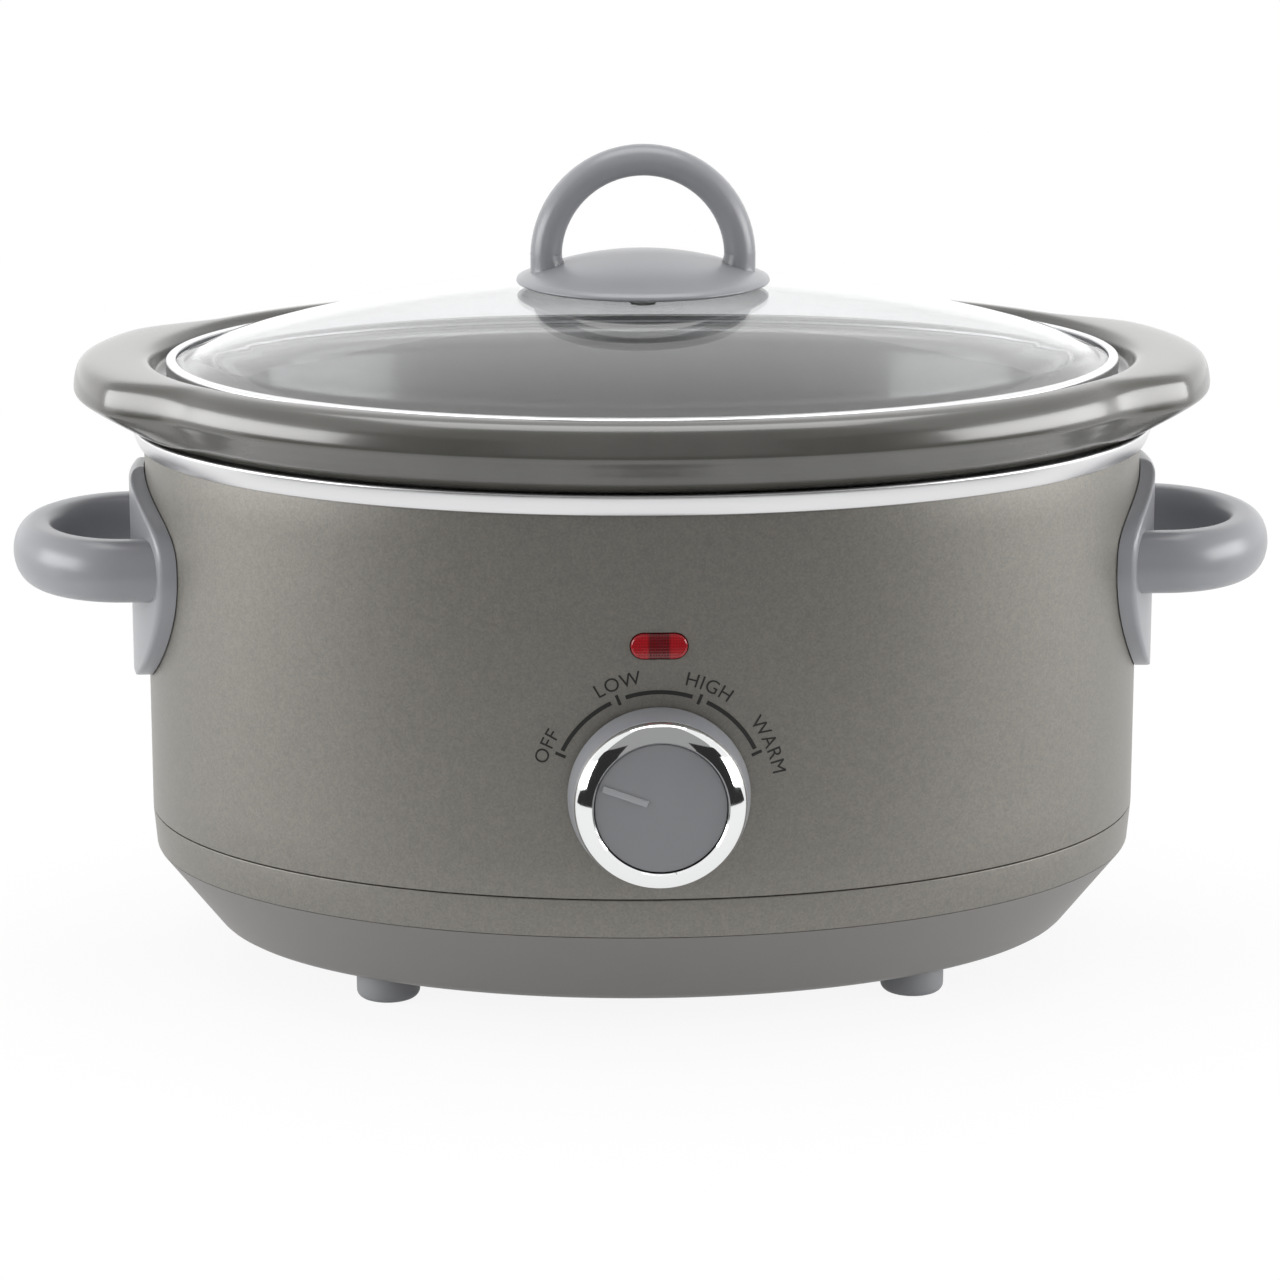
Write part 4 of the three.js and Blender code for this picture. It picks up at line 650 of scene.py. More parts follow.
# %% Add the pan's bosses
feet = {name: reach(name) for name in sorted(frame["nodes"])
        if name.startswith("foot_") and "screw" not in name}
foot_middles = {name: (low + high) / 2 for name, (low, high) in feet.items()}
BOSS_RADIUS, BOSS_TOP = 6, 19.6
TIE_BOSS_RADIUS, TIE_BOSS_TOP = 8, 15.9
OVERLAP = 1
bosses = bmesh.new()
root_z = pan_floor - OVERLAP
for middle in foot_middles.values():
    rod(bosses, BOSS_RADIUS, (middle.x, middle.y, root_z), (middle.x, middle.y, BOSS_TOP))
rod(bosses, TIE_BOSS_RADIUS, (0, MIDDLE_Y, root_z), (0, MIDDLE_Y, TIE_BOSS_TOP))
pan = combined(pan, "UNION", bosses)
print(len(feet), "screw bosses and one for the tie bolt")

# %% Drill and slot the pan
SCREW_HOLE, TIE_HOLE = 2.2, 3.3
BLIND = 3
VENT_ROW, VENT_PITCH, VENT_LENGTH, VENT_WIDTH = 34, 12, 24, 4
holes = bmesh.new()
for middle in foot_middles.values():
    rod(holes, SCREW_HOLE, (middle.x, middle.y, 0), (middle.x, middle.y, BOSS_TOP - BLIND))
rod(holes, TIE_HOLE, (0, MIDDLE_Y, 0), (0, MIDDLE_Y, TIE_BOSS_TOP + OVERLAP))
pan = combined(pan, "DIFFERENCE", holes)
for side in (-1, 1):
    for step in (-1, 0, 1):
        vent = stadium(VENT_LENGTH, VENT_WIDTH, 4 * PAN_WALL)
        bmesh.ops.transform(vent, matrix=Matrix.Rotation(math.pi / 2, 4, "Z"), verts=vent.verts)
        moved(vent, side * VENT_ROW + step * VENT_PITCH, MIDDLE_Y, pan_low.z - PAN_WALL)
        pan = combined(pan, "DIFFERENCE", vent)
in_finish("moulded_base_pan", pan, "base_plastic", "base", ["base_pan"])

# %% [markdown]
# ## Feet
# Four soft buttons with a rounded tread, each with a sunk screw. The recess for the screw's head is
# part of the outline, so one turning makes the whole foot.

# %% Model the four feet
FOOT_ROUND = 2.4
HEAD_SINK = 4.1
HEAD_DEPTH = 5.1
for name, (low, high) in feet.items():
    radius = (high.x - low.x) / 2
    foot = turned([
        (HEAD_SINK, 0, 0.4),
        (radius, 0, FOOT_ROUND),
        (radius, high.z, 0.4),
        (SCREW_HOLE, high.z),
        (SCREW_HOLE, HEAD_DEPTH),
        (HEAD_SINK, HEAD_DEPTH),
    ], around=64, rounds=6)
    moved(foot, foot_middles[name].x, foot_middles[name].y, 0)
    in_finish(name.replace("foot", "rubber_foot"), foot, "grey_rubber", "base", [name])

# %% [markdown]
# ## Heating liner
# A deep pressing hangs inside the shell by its rim. Only the rim shows: it flares out over the top
# of the painted wall and ends in a rounded edge, and it is the brightest line on the cooker. Its
# face is gently rounded so that it shows a bright core between two softer bands.

# %% Model the liner
LINER_WALL = 0.9
LINER_FOOT, LINER_TOP = SHELL - 23.9, SHELL - 9.15
RIM = (liner_high.y - liner_low.y) / 2
RIM_FOOT_Z = liner_high.z - 6.2
LEDGE_Z = shell_high.z + PLAY + LINER_WALL
liner = oval(turned([
    (0, liner_low.z),
    (LINER_FOOT, liner_low.z, 11),
    (LINER_TOP, shell_high.z - 1, 0.6),
    (LINER_TOP + LINER_WALL, shell_high.z + PLAY, 0.3),
    (RIM - 1.3, shell_high.z + PLAY, 0.4),
    (SHELL + PLAY, RIM_FOOT_Z),
    (SHELL + PLAY + LINER_WALL, RIM_FOOT_Z, 0.4),
    (RIM - 0.75, liner_high.z - 3.4, 2.2),
    (RIM, liner_high.z, 0.65),
    (RIM - 1.6, liner_high.z, 0.5),
    (RIM - 2.6, LEDGE_Z, 0.3),
    (LINER_TOP + LINER_WALL, LEDGE_Z, 0.6),
    (LINER_TOP - LINER_WALL, shell_high.z - 3, 0.6),
    (LINER_FOOT - LINER_WALL, liner_low.z + LINER_WALL, 11),
    (0, liner_low.z + LINER_WALL),
]))
in_finish("pressed_liner", liner, "bright_steel", "base", ["heating_liner"])

# %% [markdown]
# ## The crock
# Stoneware is cast in a plaster mould, and its edges are all soft. A turned outline of spaced
# points, smoothed by a Subdivision Surface, gives that softness better than bevels do. Each point
# also carries a share of the grips' reach in a vertex layer. At the ends of the oval the points move
# out by their share, which pulls the fat roll out into two wide grips and leaves the pot alone.

# %% Draw the crock's outline
ROLL = (crock_high.y - crock_low.y) / 2
GRIP_REACH = crock_high.x - ROLL - LONGER
CROCK_AROUND = 128
POT_TOP, POT_FOOT = 99.3, 86.3
CROCK_BAND_FOOT = LEDGE_Z + PLAY
CREASE = CROCK_BAND_FOOT + 9.8
RECESS = crock_high.z - 5.8
LIP = 109.5
MOUTH, MOUTH_FOOT = 93.1, 80.1
POT_FLOOR = crock_low.z + 7.2
pot_outside = [
    (0, crock_low.z), (50, crock_low.z), (POT_FOOT - 12, crock_low.z + 0.4),
    (POT_FOOT - 3.4, crock_low.z + 4.6), (POT_FOOT, crock_low.z + 15),
    (POT_TOP, CROCK_BAND_FOOT - 4), (POT_TOP + 0.8, CROCK_BAND_FOOT - 0.8),
    (POT_TOP + 2.4, CROCK_BAND_FOOT + 0.1),
]
band_and_roll = [
    (SHELL - 2.4, CROCK_BAND_FOOT, 0.02), (SHELL + 0.5, CROCK_BAND_FOOT + 0.6, 0.14),
    (SHELL + 2.5, CROCK_BAND_FOOT + 2.8, 0.36), (SHELL + 4.0, CREASE - 4.4, 0.6),
    (SHELL + 5.4, CREASE - 2.6, 0.77),
    (SHELL + 6.9, CREASE - 0.5, 0.92), (ROLL - 0.2, CREASE + 1.1, 1), (ROLL, CREASE + 2.4, 1),
    (ROLL - 0.4, crock_high.z - 6.2, 1.01), (ROLL - 1.1, crock_high.z - 4.2, 1.03),
    (ROLL - 2.1, crock_high.z - 2.4, 1.06), (ROLL - 3.6, crock_high.z - 1, 1.08),
    (ROLL - 5.6, crock_high.z - 0.2, 1.02), (ROLL - 8, crock_high.z + 0.05, 0.7),
    (LIP + 2.2, crock_high.z, 0.12),
]
recess_and_inside = [
    (LIP + 0.4, crock_high.z - 0.5), (LIP - 0.6, RECESS + 1.3), (LIP - 1.1, RECESS + 0.1),
    (LIP - 2.2, RECESS), (MOUTH + 5.2, RECESS), (MOUTH + 1.6, RECESS - 1.4),
    (MOUTH + 0.2, RECESS - 6), (MOUTH - 0.6, RECESS - 13), (MOUTH_FOOT, POT_FLOOR + 16),
    (MOUTH_FOOT - 4.4, POT_FLOOR + 4.6), (MOUTH_FOOT - 14, POT_FLOOR + 0.2),
    (45, POT_FLOOR), (0, POT_FLOOR),
]
print(f"crock: {crock_high.z - crock_low.z:.0f} tall, its grips reach {GRIP_REACH:.0f} out")

# %% Turn the crock
crock = bmesh.new()
share_of_grip = crock.verts.layers.float.new("share_of_grip")
drawn = []
for radius, height, *share in pot_outside + band_and_roll + recess_and_inside:
    drawn.append(crock.verts.new((radius, 0, height)))
    drawn[-1][share_of_grip] = share[0] if share else 0
for here, there in zip(drawn, drawn[1:]):
    crock.edges.new((here, there))
spin_about_z(crock, CROCK_AROUND)
oval(crock)

# %% Pull out the crock's grips
GRIP_HALF, GRIP_BLEND = 45, 15


def eased(share):
    """A share from 0 to 1 that starts and ends gently."""
    return share * share * (3 - 2 * share)


for vert in crock.verts:
    along = min(max((abs(vert.co.y - MIDDLE_Y) - GRIP_HALF) / GRIP_BLEND, 0), 1)
    out = GRIP_REACH * vert[share_of_grip] * (1 - eased(along))
    vert.co.x += math.copysign(out, vert.co.x)
crock_piece = in_finish("stoneware_crock", crock, "crock_glaze", "crock", ["crock"], crisp=180)
soften = crock_piece.modifiers.new("soften", "SUBSURF")
soften.levels = soften.render_levels = 2

# %% [markdown]
# ## Lid rim and glass
# The steel ring is a narrow channel rolled over the glass's edge. The glass is pressed in one piece:
# a level edge in the channel, and a dome that is flatter on top than a ball is, because its height
# falls with a power of the radius. The outline takes the dome from that rule in even steps, above
# and below, and one turning closes it.

# %% Model the lid rim
rim_low, rim_high = reach("lid_rim")
LID = (rim_high.y - rim_low.y) / 2
LID_SHEET = 0.6
LID_CHANNEL = 3
lid_rim = oval(turned([
    (LID - LID_CHANNEL, rim_low.z),
    (LID, rim_low.z, 1.2),
    (LID, rim_high.z, 0.9),
    (LID - LID_CHANNEL, rim_high.z, 0.2),
    (LID - LID_CHANNEL, rim_high.z - LID_SHEET),
    (LID - LID_SHEET, rim_high.z - LID_SHEET, 0.7),
    (LID - LID_SHEET, rim_low.z + LID_SHEET, 0.7),
    (LID - LID_CHANNEL, rim_low.z + LID_SHEET),
]))
in_finish("rolled_lid_rim", lid_rim, "bright_steel", "lid", ["lid_rim"])

# %% Model the glass dome
glass_low, glass_high = reach("lid_glass")
GLASS = (glass_high.y - glass_low.y) / 2
GLASS_WALL = 3.4
LEVEL_EDGE = 2
DOME = LID - LID_CHANNEL - LEVEL_EDGE
DOME_RISE = 21.6
DOME_POWER = 2.3
GLASS_EDGE_Z = rim_high.z - LID_SHEET - PLAY
DOME_TOP = GLASS_EDGE_Z + DOME_RISE
GLASS_HOLE = 3.5
DOME_RINGS = 18


def dome(radius):
    """Height of the glass's upper face."""
    return DOME_TOP - DOME_RISE * (radius / DOME) ** DOME_POWER


rings = [GLASS_HOLE + (DOME - GLASS_HOLE) * i / DOME_RINGS for i in range(DOME_RINGS + 1)]
glass = oval(turned(
    [(r, dome(r) - GLASS_WALL) for r in rings[:-1]]
    + [(DOME, glass_low.z, 1.2), (GLASS, glass_low.z), (GLASS, GLASS_EDGE_Z)]
    + [(r, dome(r)) for r in reversed(rings)]))
in_finish("domed_lid_glass", glass, "lid_glass", "lid", ["lid_glass"], crisp=50)

# %% [markdown]
# ## Sweeping a bar
# All three handles are fat bars of oval section on a bent line. A section is drawn once as a circle
# and squeezed to an oval, and its rim is extruded from each place on the line to the next. Each
# place is a matrix, which also lets the bar swell where it meets its root.

# %% Sweep an oval section through a row of places
SIDES = 40


def swept(half_x, half_y, places, flat=1.0):
    """A closed bar: an oval section, flatter towards its own +y, carried through all the places."""
    mesh = bmesh.new()
    made = bmesh.ops.create_circle(mesh, cap_ends=True, segments=SIDES, radius=1)["verts"]
    for vert in made:
        if vert.co.y > 0:
            vert.co.y **= flat
    section = places[0] @ Matrix.Diagonal((half_x, half_y, 1, 1))
    bmesh.ops.transform(mesh, matrix=section, verts=made)
    rim = list({edge for vert in made for edge in vert.link_edges})
    for here, there in zip(places, places[1:]):
        grown = bmesh.ops.extrude_edge_only(mesh, edges=rim)["geom"]
        fresh = set(verts_in(grown))
        bmesh.ops.transform(mesh, matrix=there @ here.inverted(), verts=list(fresh))
        rim = [edge for edge in mesh.edges if all(vert in fresh for vert in edge.verts)]
    bmesh.ops.contextual_create(mesh, geom=rim)
    bmesh.ops.recalc_face_normals(mesh, faces=mesh.faces)
    return mesh


# %% [markdown]
# ## Lid handle
# One moulding: a shallow domed disc with a hub underneath, and an arch of bar standing on it. The
# disc is turned, the arch is swept, and a union makes them one. Each leg flares a little on its
# inner side just above the disc, as a fillet in the mould would make it.

# %% Model the disc
handle_low, handle_high = reach("lid_handle")
DISC = handle_high.x
DISC_EDGE_Z = handle_low.z
DISC_TOP = DISC_EDGE_Z + 9.3
DISC_FALL = 7.9
DISC_WALL = 2.6
HUB = 12
HUB_Z = reach("lid_gasket")[1].z + PLAY


def disc_height(radius):
    """Height of the disc's upper face."""
    return DISC_TOP - DISC_FALL * (radius / DISC) ** 2


disc_rings = [DISC * share
              for share in (0.985, 0.93, 0.86, 0.77, 0.66, 0.54, 0.42, 0.3, 0.18, 0.08)]
under_rings = [r for r in reversed(disc_rings) if HUB + 2 < r < 0.8 * DISC]
disc = turned(
    [(0, HUB_Z), (HUB, HUB_Z, 0.5), (HUB, disc_height(HUB) - DISC_WALL, 0.6)]
    + [(r, disc_height(r) - DISC_WALL) for r in under_rings]
    + [(0.89 * DISC, DISC_EDGE_Z + 0.8), (DISC - 1.6, DISC_EDGE_Z, 0.4)]
    + [(DISC, DISC_EDGE_Z + 0.7, 0.5)]
    + [(r, disc_height(r)) for r in disc_rings] + [(0, DISC_TOP)], around=128)
moved(disc, 0, MIDDLE_Y, 0)
print(f"disc: {2 * DISC:.0f} across, {DISC_TOP - DISC_EDGE_Z:.1f} tall")

# %% Sweep the arch and join it to the disc
ARCH = 29
ARCH_ACROSS, ARCH_THROUGH = 4.7, 5.5
ARCH_Z = handle_high.z - ARCH_ACROSS - ARCH
FLARE = [(0, 1.16), (1.2, 1.07), (2.6, 1.02), (4.2, 1.0)]
ARCH_TURNS = 40
LEG_SUNK, FLARE_START = 1.5, 1.6
leg_foot = disc_height(ARCH) - LEG_SUNK


def arch_place(angle, drop=0.0, swell=1.0):
    """The section's place at an angle round the arch, lowered for a leg and swollen for a flare."""
    inward = ARCH_ACROSS * (swell - 1)
    where = (-(ARCH - inward) * math.cos(angle), MIDDLE_Y, ARCH_Z + ARCH * math.sin(angle) - drop)
    return (Matrix.Translation(where) @ Matrix.Rotation(angle, 4, "Y")
            @ Matrix.Diagonal((swell, 1, 1, 1)))


def leg(angle):
    """Places from the foot of a leg, up through its flare."""
    down = ARCH_Z - leg_foot
    flared = [arch_place(angle, down - FLARE_START - rise, swell) for rise, swell in FLARE]
    return [arch_place(angle, down)] + flared


bend = [arch_place(math.pi * i / ARCH_TURNS) for i in range(ARCH_TURNS + 1)]
arch = swept(ARCH_ACROSS, ARCH_THROUGH, leg(0) + bend + leg(math.pi)[::-1])
lid_handle = combined(disc, "UNION", arch)
in_finish("moulded_lid_handle", lid_handle, "handle_plastic", "lid", ["lid_handle"], crisp=40)

# %% [markdown]
# ## Seat under the glass
# A thin washer of pale silicone under the glass takes the screw's pull without cracking the dome. It
# hides under the disc and shows only from below, so one small turned outline is enough.

# %% Model the lower seat
seat_low, seat_high = reach("lid_lower_seat")
SEAT = seat_high.x
seat = turned([
    (GLASS_HOLE, seat_low.z),
    (SEAT, seat_low.z, 0.5),
    (SEAT, dome(SEAT) - GLASS_WALL - PLAY, 0.3),
    (GLASS_HOLE, seat_high.z),
], around=64)
moved(seat, 0, MIDDLE_Y, 0)
in_finish("moulded_lid_seat", seat, "pale_silicone", "lid", ["lid_lower_seat"])

# %% [markdown]
# ## Side handles
# Each is a moulded shield that lies flat on the wall, with a level loop of fat bar. The shield
# starts as a flat grid, closer near its edges, whose rows are drawn in or out to the outline. It
# gets its thickness by an extrusion, its outer face is rounded off towards the edges, and then it is
# bent to the wall. The loop is swept in plan, and one side of its section is flatter, as the real
# bar's is. Its two ends are laid along the bent shield, so the union is clean. Two bosses behind the
# shield fill the holes in the wall, and take the screws.

# %% Model the shield
side_low, side_high = reach("right_handle")
SHIELD_WIDEST = side_low.z + 36.5
SHIELD_HALF = (side_high.y - side_low.y) / 2 - 2
SHIELD_TOP_HALF, SHIELD_FOOT_HALF = 9, 15
SHIELD_LINGER = 1.7
SHIELD_CORNER, SHIELD_EDGE, SHIELD_BROW = 2.2, 1.2, 3.6
SHIELD_THICK = 4.5
WALL_FACE = SHELL + PLAY
SHIELD_ROWS, SHIELD_COLUMNS = 60, 32


def quarter_drop(near, radius):
    """How far a rounded edge of a radius has fallen, at a distance in from the edge."""
    into = min(max(radius - near, 0), radius)
    return radius - math.sqrt(radius ** 2 - into ** 2)


def shield_half(height):
    """Half-width of the shield: full at its widest level, with soft shoulders and a narrow top.

    The squares of the widths are mixed, because a curved wall shows a width by its square.
    """
    if height > SHIELD_WIDEST:
        share = ((height - SHIELD_WIDEST) / (side_high.z - SHIELD_WIDEST)) ** SHIELD_LINGER
        end, mix = SHIELD_TOP_HALF, eased(share)
    else:
        end, mix = SHIELD_FOOT_HALF, ((SHIELD_WIDEST - height) / (SHIELD_WIDEST - side_low.z)) ** 2
    half = math.sqrt(SHIELD_HALF ** 2 * (1 - mix) + end ** 2 * mix)
    return half - quarter_drop(min(side_high.z - height, height - side_low.z), SHIELD_CORNER)


def shield():
    """The flange, in the plane x = 0 to its thickness, then bent to the right-hand wall."""
    mesh = bmesh.new()
    bmesh.ops.create_grid(mesh, x_segments=SHIELD_COLUMNS, y_segments=SHIELD_ROWS, size=0.5)
    for vert in mesh.verts:
        across, up = (math.sin(math.pi * share) for share in vert.co.xy)
        height = (side_low.z + side_high.z + up * (side_high.z - side_low.z)) / 2
        vert.co = (0, across * shield_half(height), height)
    for vert in verts_in(bmesh.ops.extrude_face_region(mesh, geom=mesh.faces[:])["geom"]):
        below_top = side_high.z - vert.co.z
        inward = min(shield_half(vert.co.z) - abs(vert.co.y), vert.co.z - side_low.z, below_top)
        fall = max(quarter_drop(inward, SHIELD_EDGE), quarter_drop(below_top, SHIELD_BROW))
        vert.co.x = SHIELD_THICK - fall
    bmesh.ops.recalc_face_normals(mesh, faces=mesh.faces)
    for vert in mesh.verts:
        vert.co.x = wall_x(WALL_FACE + vert.co.x, vert.co.y)
    return mesh


# %% Sweep the loop
LOOP_Z = shell_high.z - 36.6
LOOP_HALF_TALL, LOOP_HALF_WIDE = 9.3, 6.3
LOOP_FACE = END_X + PLAY + SHIELD_THICK
LOOP_REACH = side_high.x - LOOP_HALF_WIDE - LOOP_FACE
LOOP_SPREAD = 35.2
LOOP_TURNS = 40
LOOP_FLAT = 0.4
LOOP_ROOT = LOOP_FACE - 9
SUNK = 1.5


def loop_place(x, y, heading):
    """The section's place on the loop's level, turned to the bar's heading."""
    return (Matrix.Translation((x, y, LOOP_Z)) @ Matrix.Rotation(heading, 4, "Z")
            @ Matrix.Rotation(math.pi / 2, 4, "Y"))


def loop():
    """The bar's route in plan: out of the shield, half an ellipse, and back."""
    places = [loop_place(LOOP_ROOT, -LOOP_SPREAD, 0)]
    for i in range(LOOP_TURNS + 1):
        angle = math.pi * (i / LOOP_TURNS - 0.5)
        out, across = LOOP_REACH * math.cos(angle), LOOP_SPREAD * math.sin(angle)
        heading = math.atan2(LOOP_SPREAD * math.cos(angle), -LOOP_REACH * math.sin(angle))
        places.append(loop_place(LOOP_FACE + out, across, heading))
    places.append(loop_place(LOOP_ROOT, LOOP_SPREAD, math.pi))
    mesh = swept(LOOP_HALF_TALL, LOOP_HALF_WIDE, places, flat=LOOP_FLAT)
    for vert in mesh.verts:
        if vert.co.x < LOOP_ROOT + 0.1:
            vert.co.x = wall_x(WALL_FACE + SUNK, vert.co.y)
    return mesh


# %% Join shield, loop and bosses, and mirror for the left
BOSS, SCREW_BORE = BOSS_HOLE - PLAY, 2.0
BORE_FROM, BORE_TO = END_X - 2, END_X + 3.7
for side, hand in ((1, "right"), (-1, "left")):
    handle = combined(shield(), "UNION", loop())
    spigots, bores = bmesh.new(), bmesh.new()
    for height in HANDLE_FIXINGS:
        rod(spigots, BOSS, (END_X - SHELL_WALL, 0, height), (END_X + SUNK, 0, height))
        rod(bores, SCREW_BORE, (BORE_FROM, 0, height), (BORE_TO, 0, height))
    handle = combined(combined(handle, "UNION", spigots), "DIFFERENCE", bores)
    moved(handle, 0, MIDDLE_Y, 0)
    if side < 0:
        bmesh.ops.scale(handle, vec=(-1, 1, 1), verts=handle.verts)
        bmesh.ops.recalc_face_normals(handle, faces=handle.faces)
    in_finish(f"moulded_{hand}_handle", handle, "handle_plastic", "base", [f"{hand}_handle"],
              crisp=40)

# %% [markdown]
# ## Knob
# The knob is a moulded skirt, a plated ring and a satin cap. All three are turned lying on their
# backs and then stood up to face forwards. The ring's face falls away outwards, and more so towards
# its edge, because a mirror shows every flat in it. The cap's raised pointer is more polished than
# the cap, so it is a piece of its own here: a bevelled bar sunk halfway into the face.

# %% Model the skirt
KNOB = knob_high.x
KNOB_BACK, KNOB_FACE = FRONT_Y - knob_high.y, FRONT_Y - knob_low.y
ring_low, ring_high = reach("knob_ring")
RING, RING_FRONT = ring_high.x + 0.7, FRONT_Y - ring_low.y
SKIRT_FACE = KNOB_FACE - 1
RING_BACK = SKIRT_FACE + 0.1
KNOB_TURNED = 128
SLEEVE, SLEEVE_BACK = 6.5, 4
SHAFT_BORE, SHAFT_END = 3.3, KNOB_FACE - 1.4
skirt = turned([
    (0, SKIRT_FACE),
    (RING + 0.1, SKIRT_FACE, 0.5),
    (KNOB - 0.2, KNOB_BACK + 2.2, 1.4),
    (KNOB - 0.1, KNOB_BACK, 0.3),
    (KNOB - 2, KNOB_BACK),
    (KNOB - 3.8, KNOB_FACE - 2, 1),
    (SLEEVE, KNOB_FACE - 2),
    (SLEEVE, SLEEVE_BACK),
    (SHAFT_BORE, SLEEVE_BACK),
    (SHAFT_BORE, SHAFT_END),
    (0, SHAFT_END),
], around=KNOB_TURNED)
facing_front(skirt, KNOB_Z)
in_finish("moulded_knob_skirt", skirt, "handle_plastic", "knob", ["knob_body"])

# %% Model the plated ring
cap_low, cap_high = reach("knob_cap")
CAP = cap_high.x - 0.2
POINTER_RISE = 0.5
CAP_FACE = FRONT_Y - cap_low.y - POINTER_RISE
RING_INNER = CAP + PLAY
FACE_INNER, FACE_OUTER = RING_INNER + 0.45, RING - 1.5
LEAN_INNER, LEAN_OUTER = math.tan(math.radians(20)), math.tan(math.radians(36))
FACE_STEPS = 12


def ring_face(share):
    """A point of the ring's face, whose lean grows evenly from its inner to its outer edge."""
    out = share * (FACE_OUTER - FACE_INNER)
    fall = LEAN_INNER * out + (LEAN_OUTER - LEAN_INNER) * out * share / 2
    return FACE_INNER + out, RING_FRONT - fall


ring = turned([(RING_INNER, RING_BACK), (RING, RING_BACK), (RING, ring_face(1)[1] - 1.4, 1.3)]
              + [ring_face(1 - i / FACE_STEPS) for i in range(FACE_STEPS + 1)]
              + [(RING_INNER, RING_FRONT - 0.5)], around=KNOB_TURNED)
in_finish("plated_knob_ring", facing_front(ring, KNOB_Z), "bright_chrome", "knob", ["knob_ring"])

# %% Model the cap and its pointer
POINTER_ANGLE = math.radians(160)
POINTER_FROM, POINTER_TO, POINTER_WIDE = 4, 17.4, 1.9
cap = turned([(0, RING_BACK), (CAP, RING_BACK), (CAP, CAP_FACE, 0.5), (0, CAP_FACE)],
             around=KNOB_TURNED)
pointer = bmesh.new()
bmesh.ops.create_cube(pointer, size=1)
pointer_size = (POINTER_TO - POINTER_FROM, POINTER_WIDE, 2 * POINTER_RISE)
bmesh.ops.scale(pointer, vec=pointer_size, verts=pointer.verts)
bmesh.ops.bevel(pointer, geom=pointer.edges[:], offset=0.2, offset_type="OFFSET", segments=3,
                profile=0.5, affect="EDGES", material=-1)
stand = Matrix.Translation(((POINTER_FROM + POINTER_TO) / 2, 0, CAP_FACE))
bmesh.ops.transform(pointer, matrix=Matrix.Rotation(POINTER_ANGLE, 4, "Z") @ stand,
                    verts=pointer.verts)
piece("satin_knob_cap", facing_front(cap, KNOB_Z), CAP_SKIN, "knob", ["knob_cap"])
piece("raised_pointer", facing_front(pointer, KNOB_Z), POINTER_SKIN, "knob")

# %% [markdown]
# ## Lamp lens
# A small window with half-round ends stands a millimetre proud of the paint, with a softened edge.
# The flange behind the wall holds it, so the visible block and the flange are joined.

# %% Model the lens
LENS_PROUD = FRONT_Y - lens_low.y
LENS_BACK = FRONT_Y - lens_high.y
FLANGE = 1.5
lens = moved(stadium(LENS_LENGTH, LENS_WIDTH, LENS_PROUD - LENS_BACK), 0, 0, LENS_BACK)
front_rim = [edge for edge in lens.edges
             if all(vert.co.z > LENS_PROUD - SLIVER for vert in edge.verts)]
bmesh.ops.bevel(lens, geom=front_rim, offset=0.7, offset_type="OFFSET", segments=4, profile=0.5,
                affect="EDGES", material=-1)
flange = stadium(lens_high.x - lens_low.x, lens_high.z - lens_low.z, FLANGE)
lens = combined(lens, "UNION", moved(flange, 0, 0, LENS_BACK))
in_finish("red_lamp_lens", facing_front(lens, LENS_Z), "red_lens", "base", ["indicator_lens"])

# %% [markdown]
# ## Printed scale
# The marks round the knob are screen printed: arcs, ticks and four words. Arcs are spun from a short
# edge, ticks are small grids, and the words are Blender text made into a mesh. Everything is drawn
# flat, the words are bent round the dial, and the whole print is given a film's thickness and laid
# on the curved wall. Real ink is thinner still, but this film is a closed skin whose face stands
# clear of the paint.

# %% Draw the arcs and the ticks
DIAL = 30
ARC_WIDE, TICK_WIDE, TICK_LONG = 1.2, 0.9, 3.1
TICKS = [157.5, 112.5, 67.5, 22.5]
ARC_GAP = 4.2
END_GAP = 2.6
INK = 0.06


def spun_band(mesh, places, start, end, steps):
    """Adds the band that a line between two places sweeps about z, from one angle to another."""
    ends = [mesh.verts.new(place) for place in places]
    edge = mesh.edges.new(ends)
    bmesh.ops.transform(mesh, matrix=Matrix.Rotation(math.radians(start), 4, "Z"), verts=ends)
    bmesh.ops.spin(mesh, geom=ends + [edge], cent=(0, 0, 0), axis=(0, 0, 1), dvec=(0, 0, 0),
                   angle=math.radians(end - start), steps=steps, use_duplicate=False)
    return mesh


marks = bmesh.new()
arc_edges = [(DIAL + half * ARC_WIDE / 2, 0, 0) for half in (-1, 1)]
for first, second in zip(TICKS, TICKS[1:]):
    before = END_GAP if first == TICKS[0] else ARC_GAP
    after = END_GAP if second == TICKS[-1] else ARC_GAP
    spun_band(marks, arc_edges, first - before, second + after, steps=20)
for angle in TICKS:
    place = (Matrix.Rotation(math.radians(angle), 4, "Z") @ Matrix.Translation((DIAL, 0, 0))
             @ Matrix.Diagonal((TICK_LONG, TICK_WIDE, 1, 1)))
    bmesh.ops.create_grid(marks, x_segments=2, y_segments=1, size=0.5, matrix=place)
print("arcs and ticks:", len(marks.faces), "faces")

# %% Write the words round the dial
WORDS = {"OFF": 156.5, "LOW": 110, "HIGH": 65.7, "WARM": 23.5}
CAP_HEIGHT = 3.9
WORD_FOOT = 32.8
LETTER_GAP = 1.08


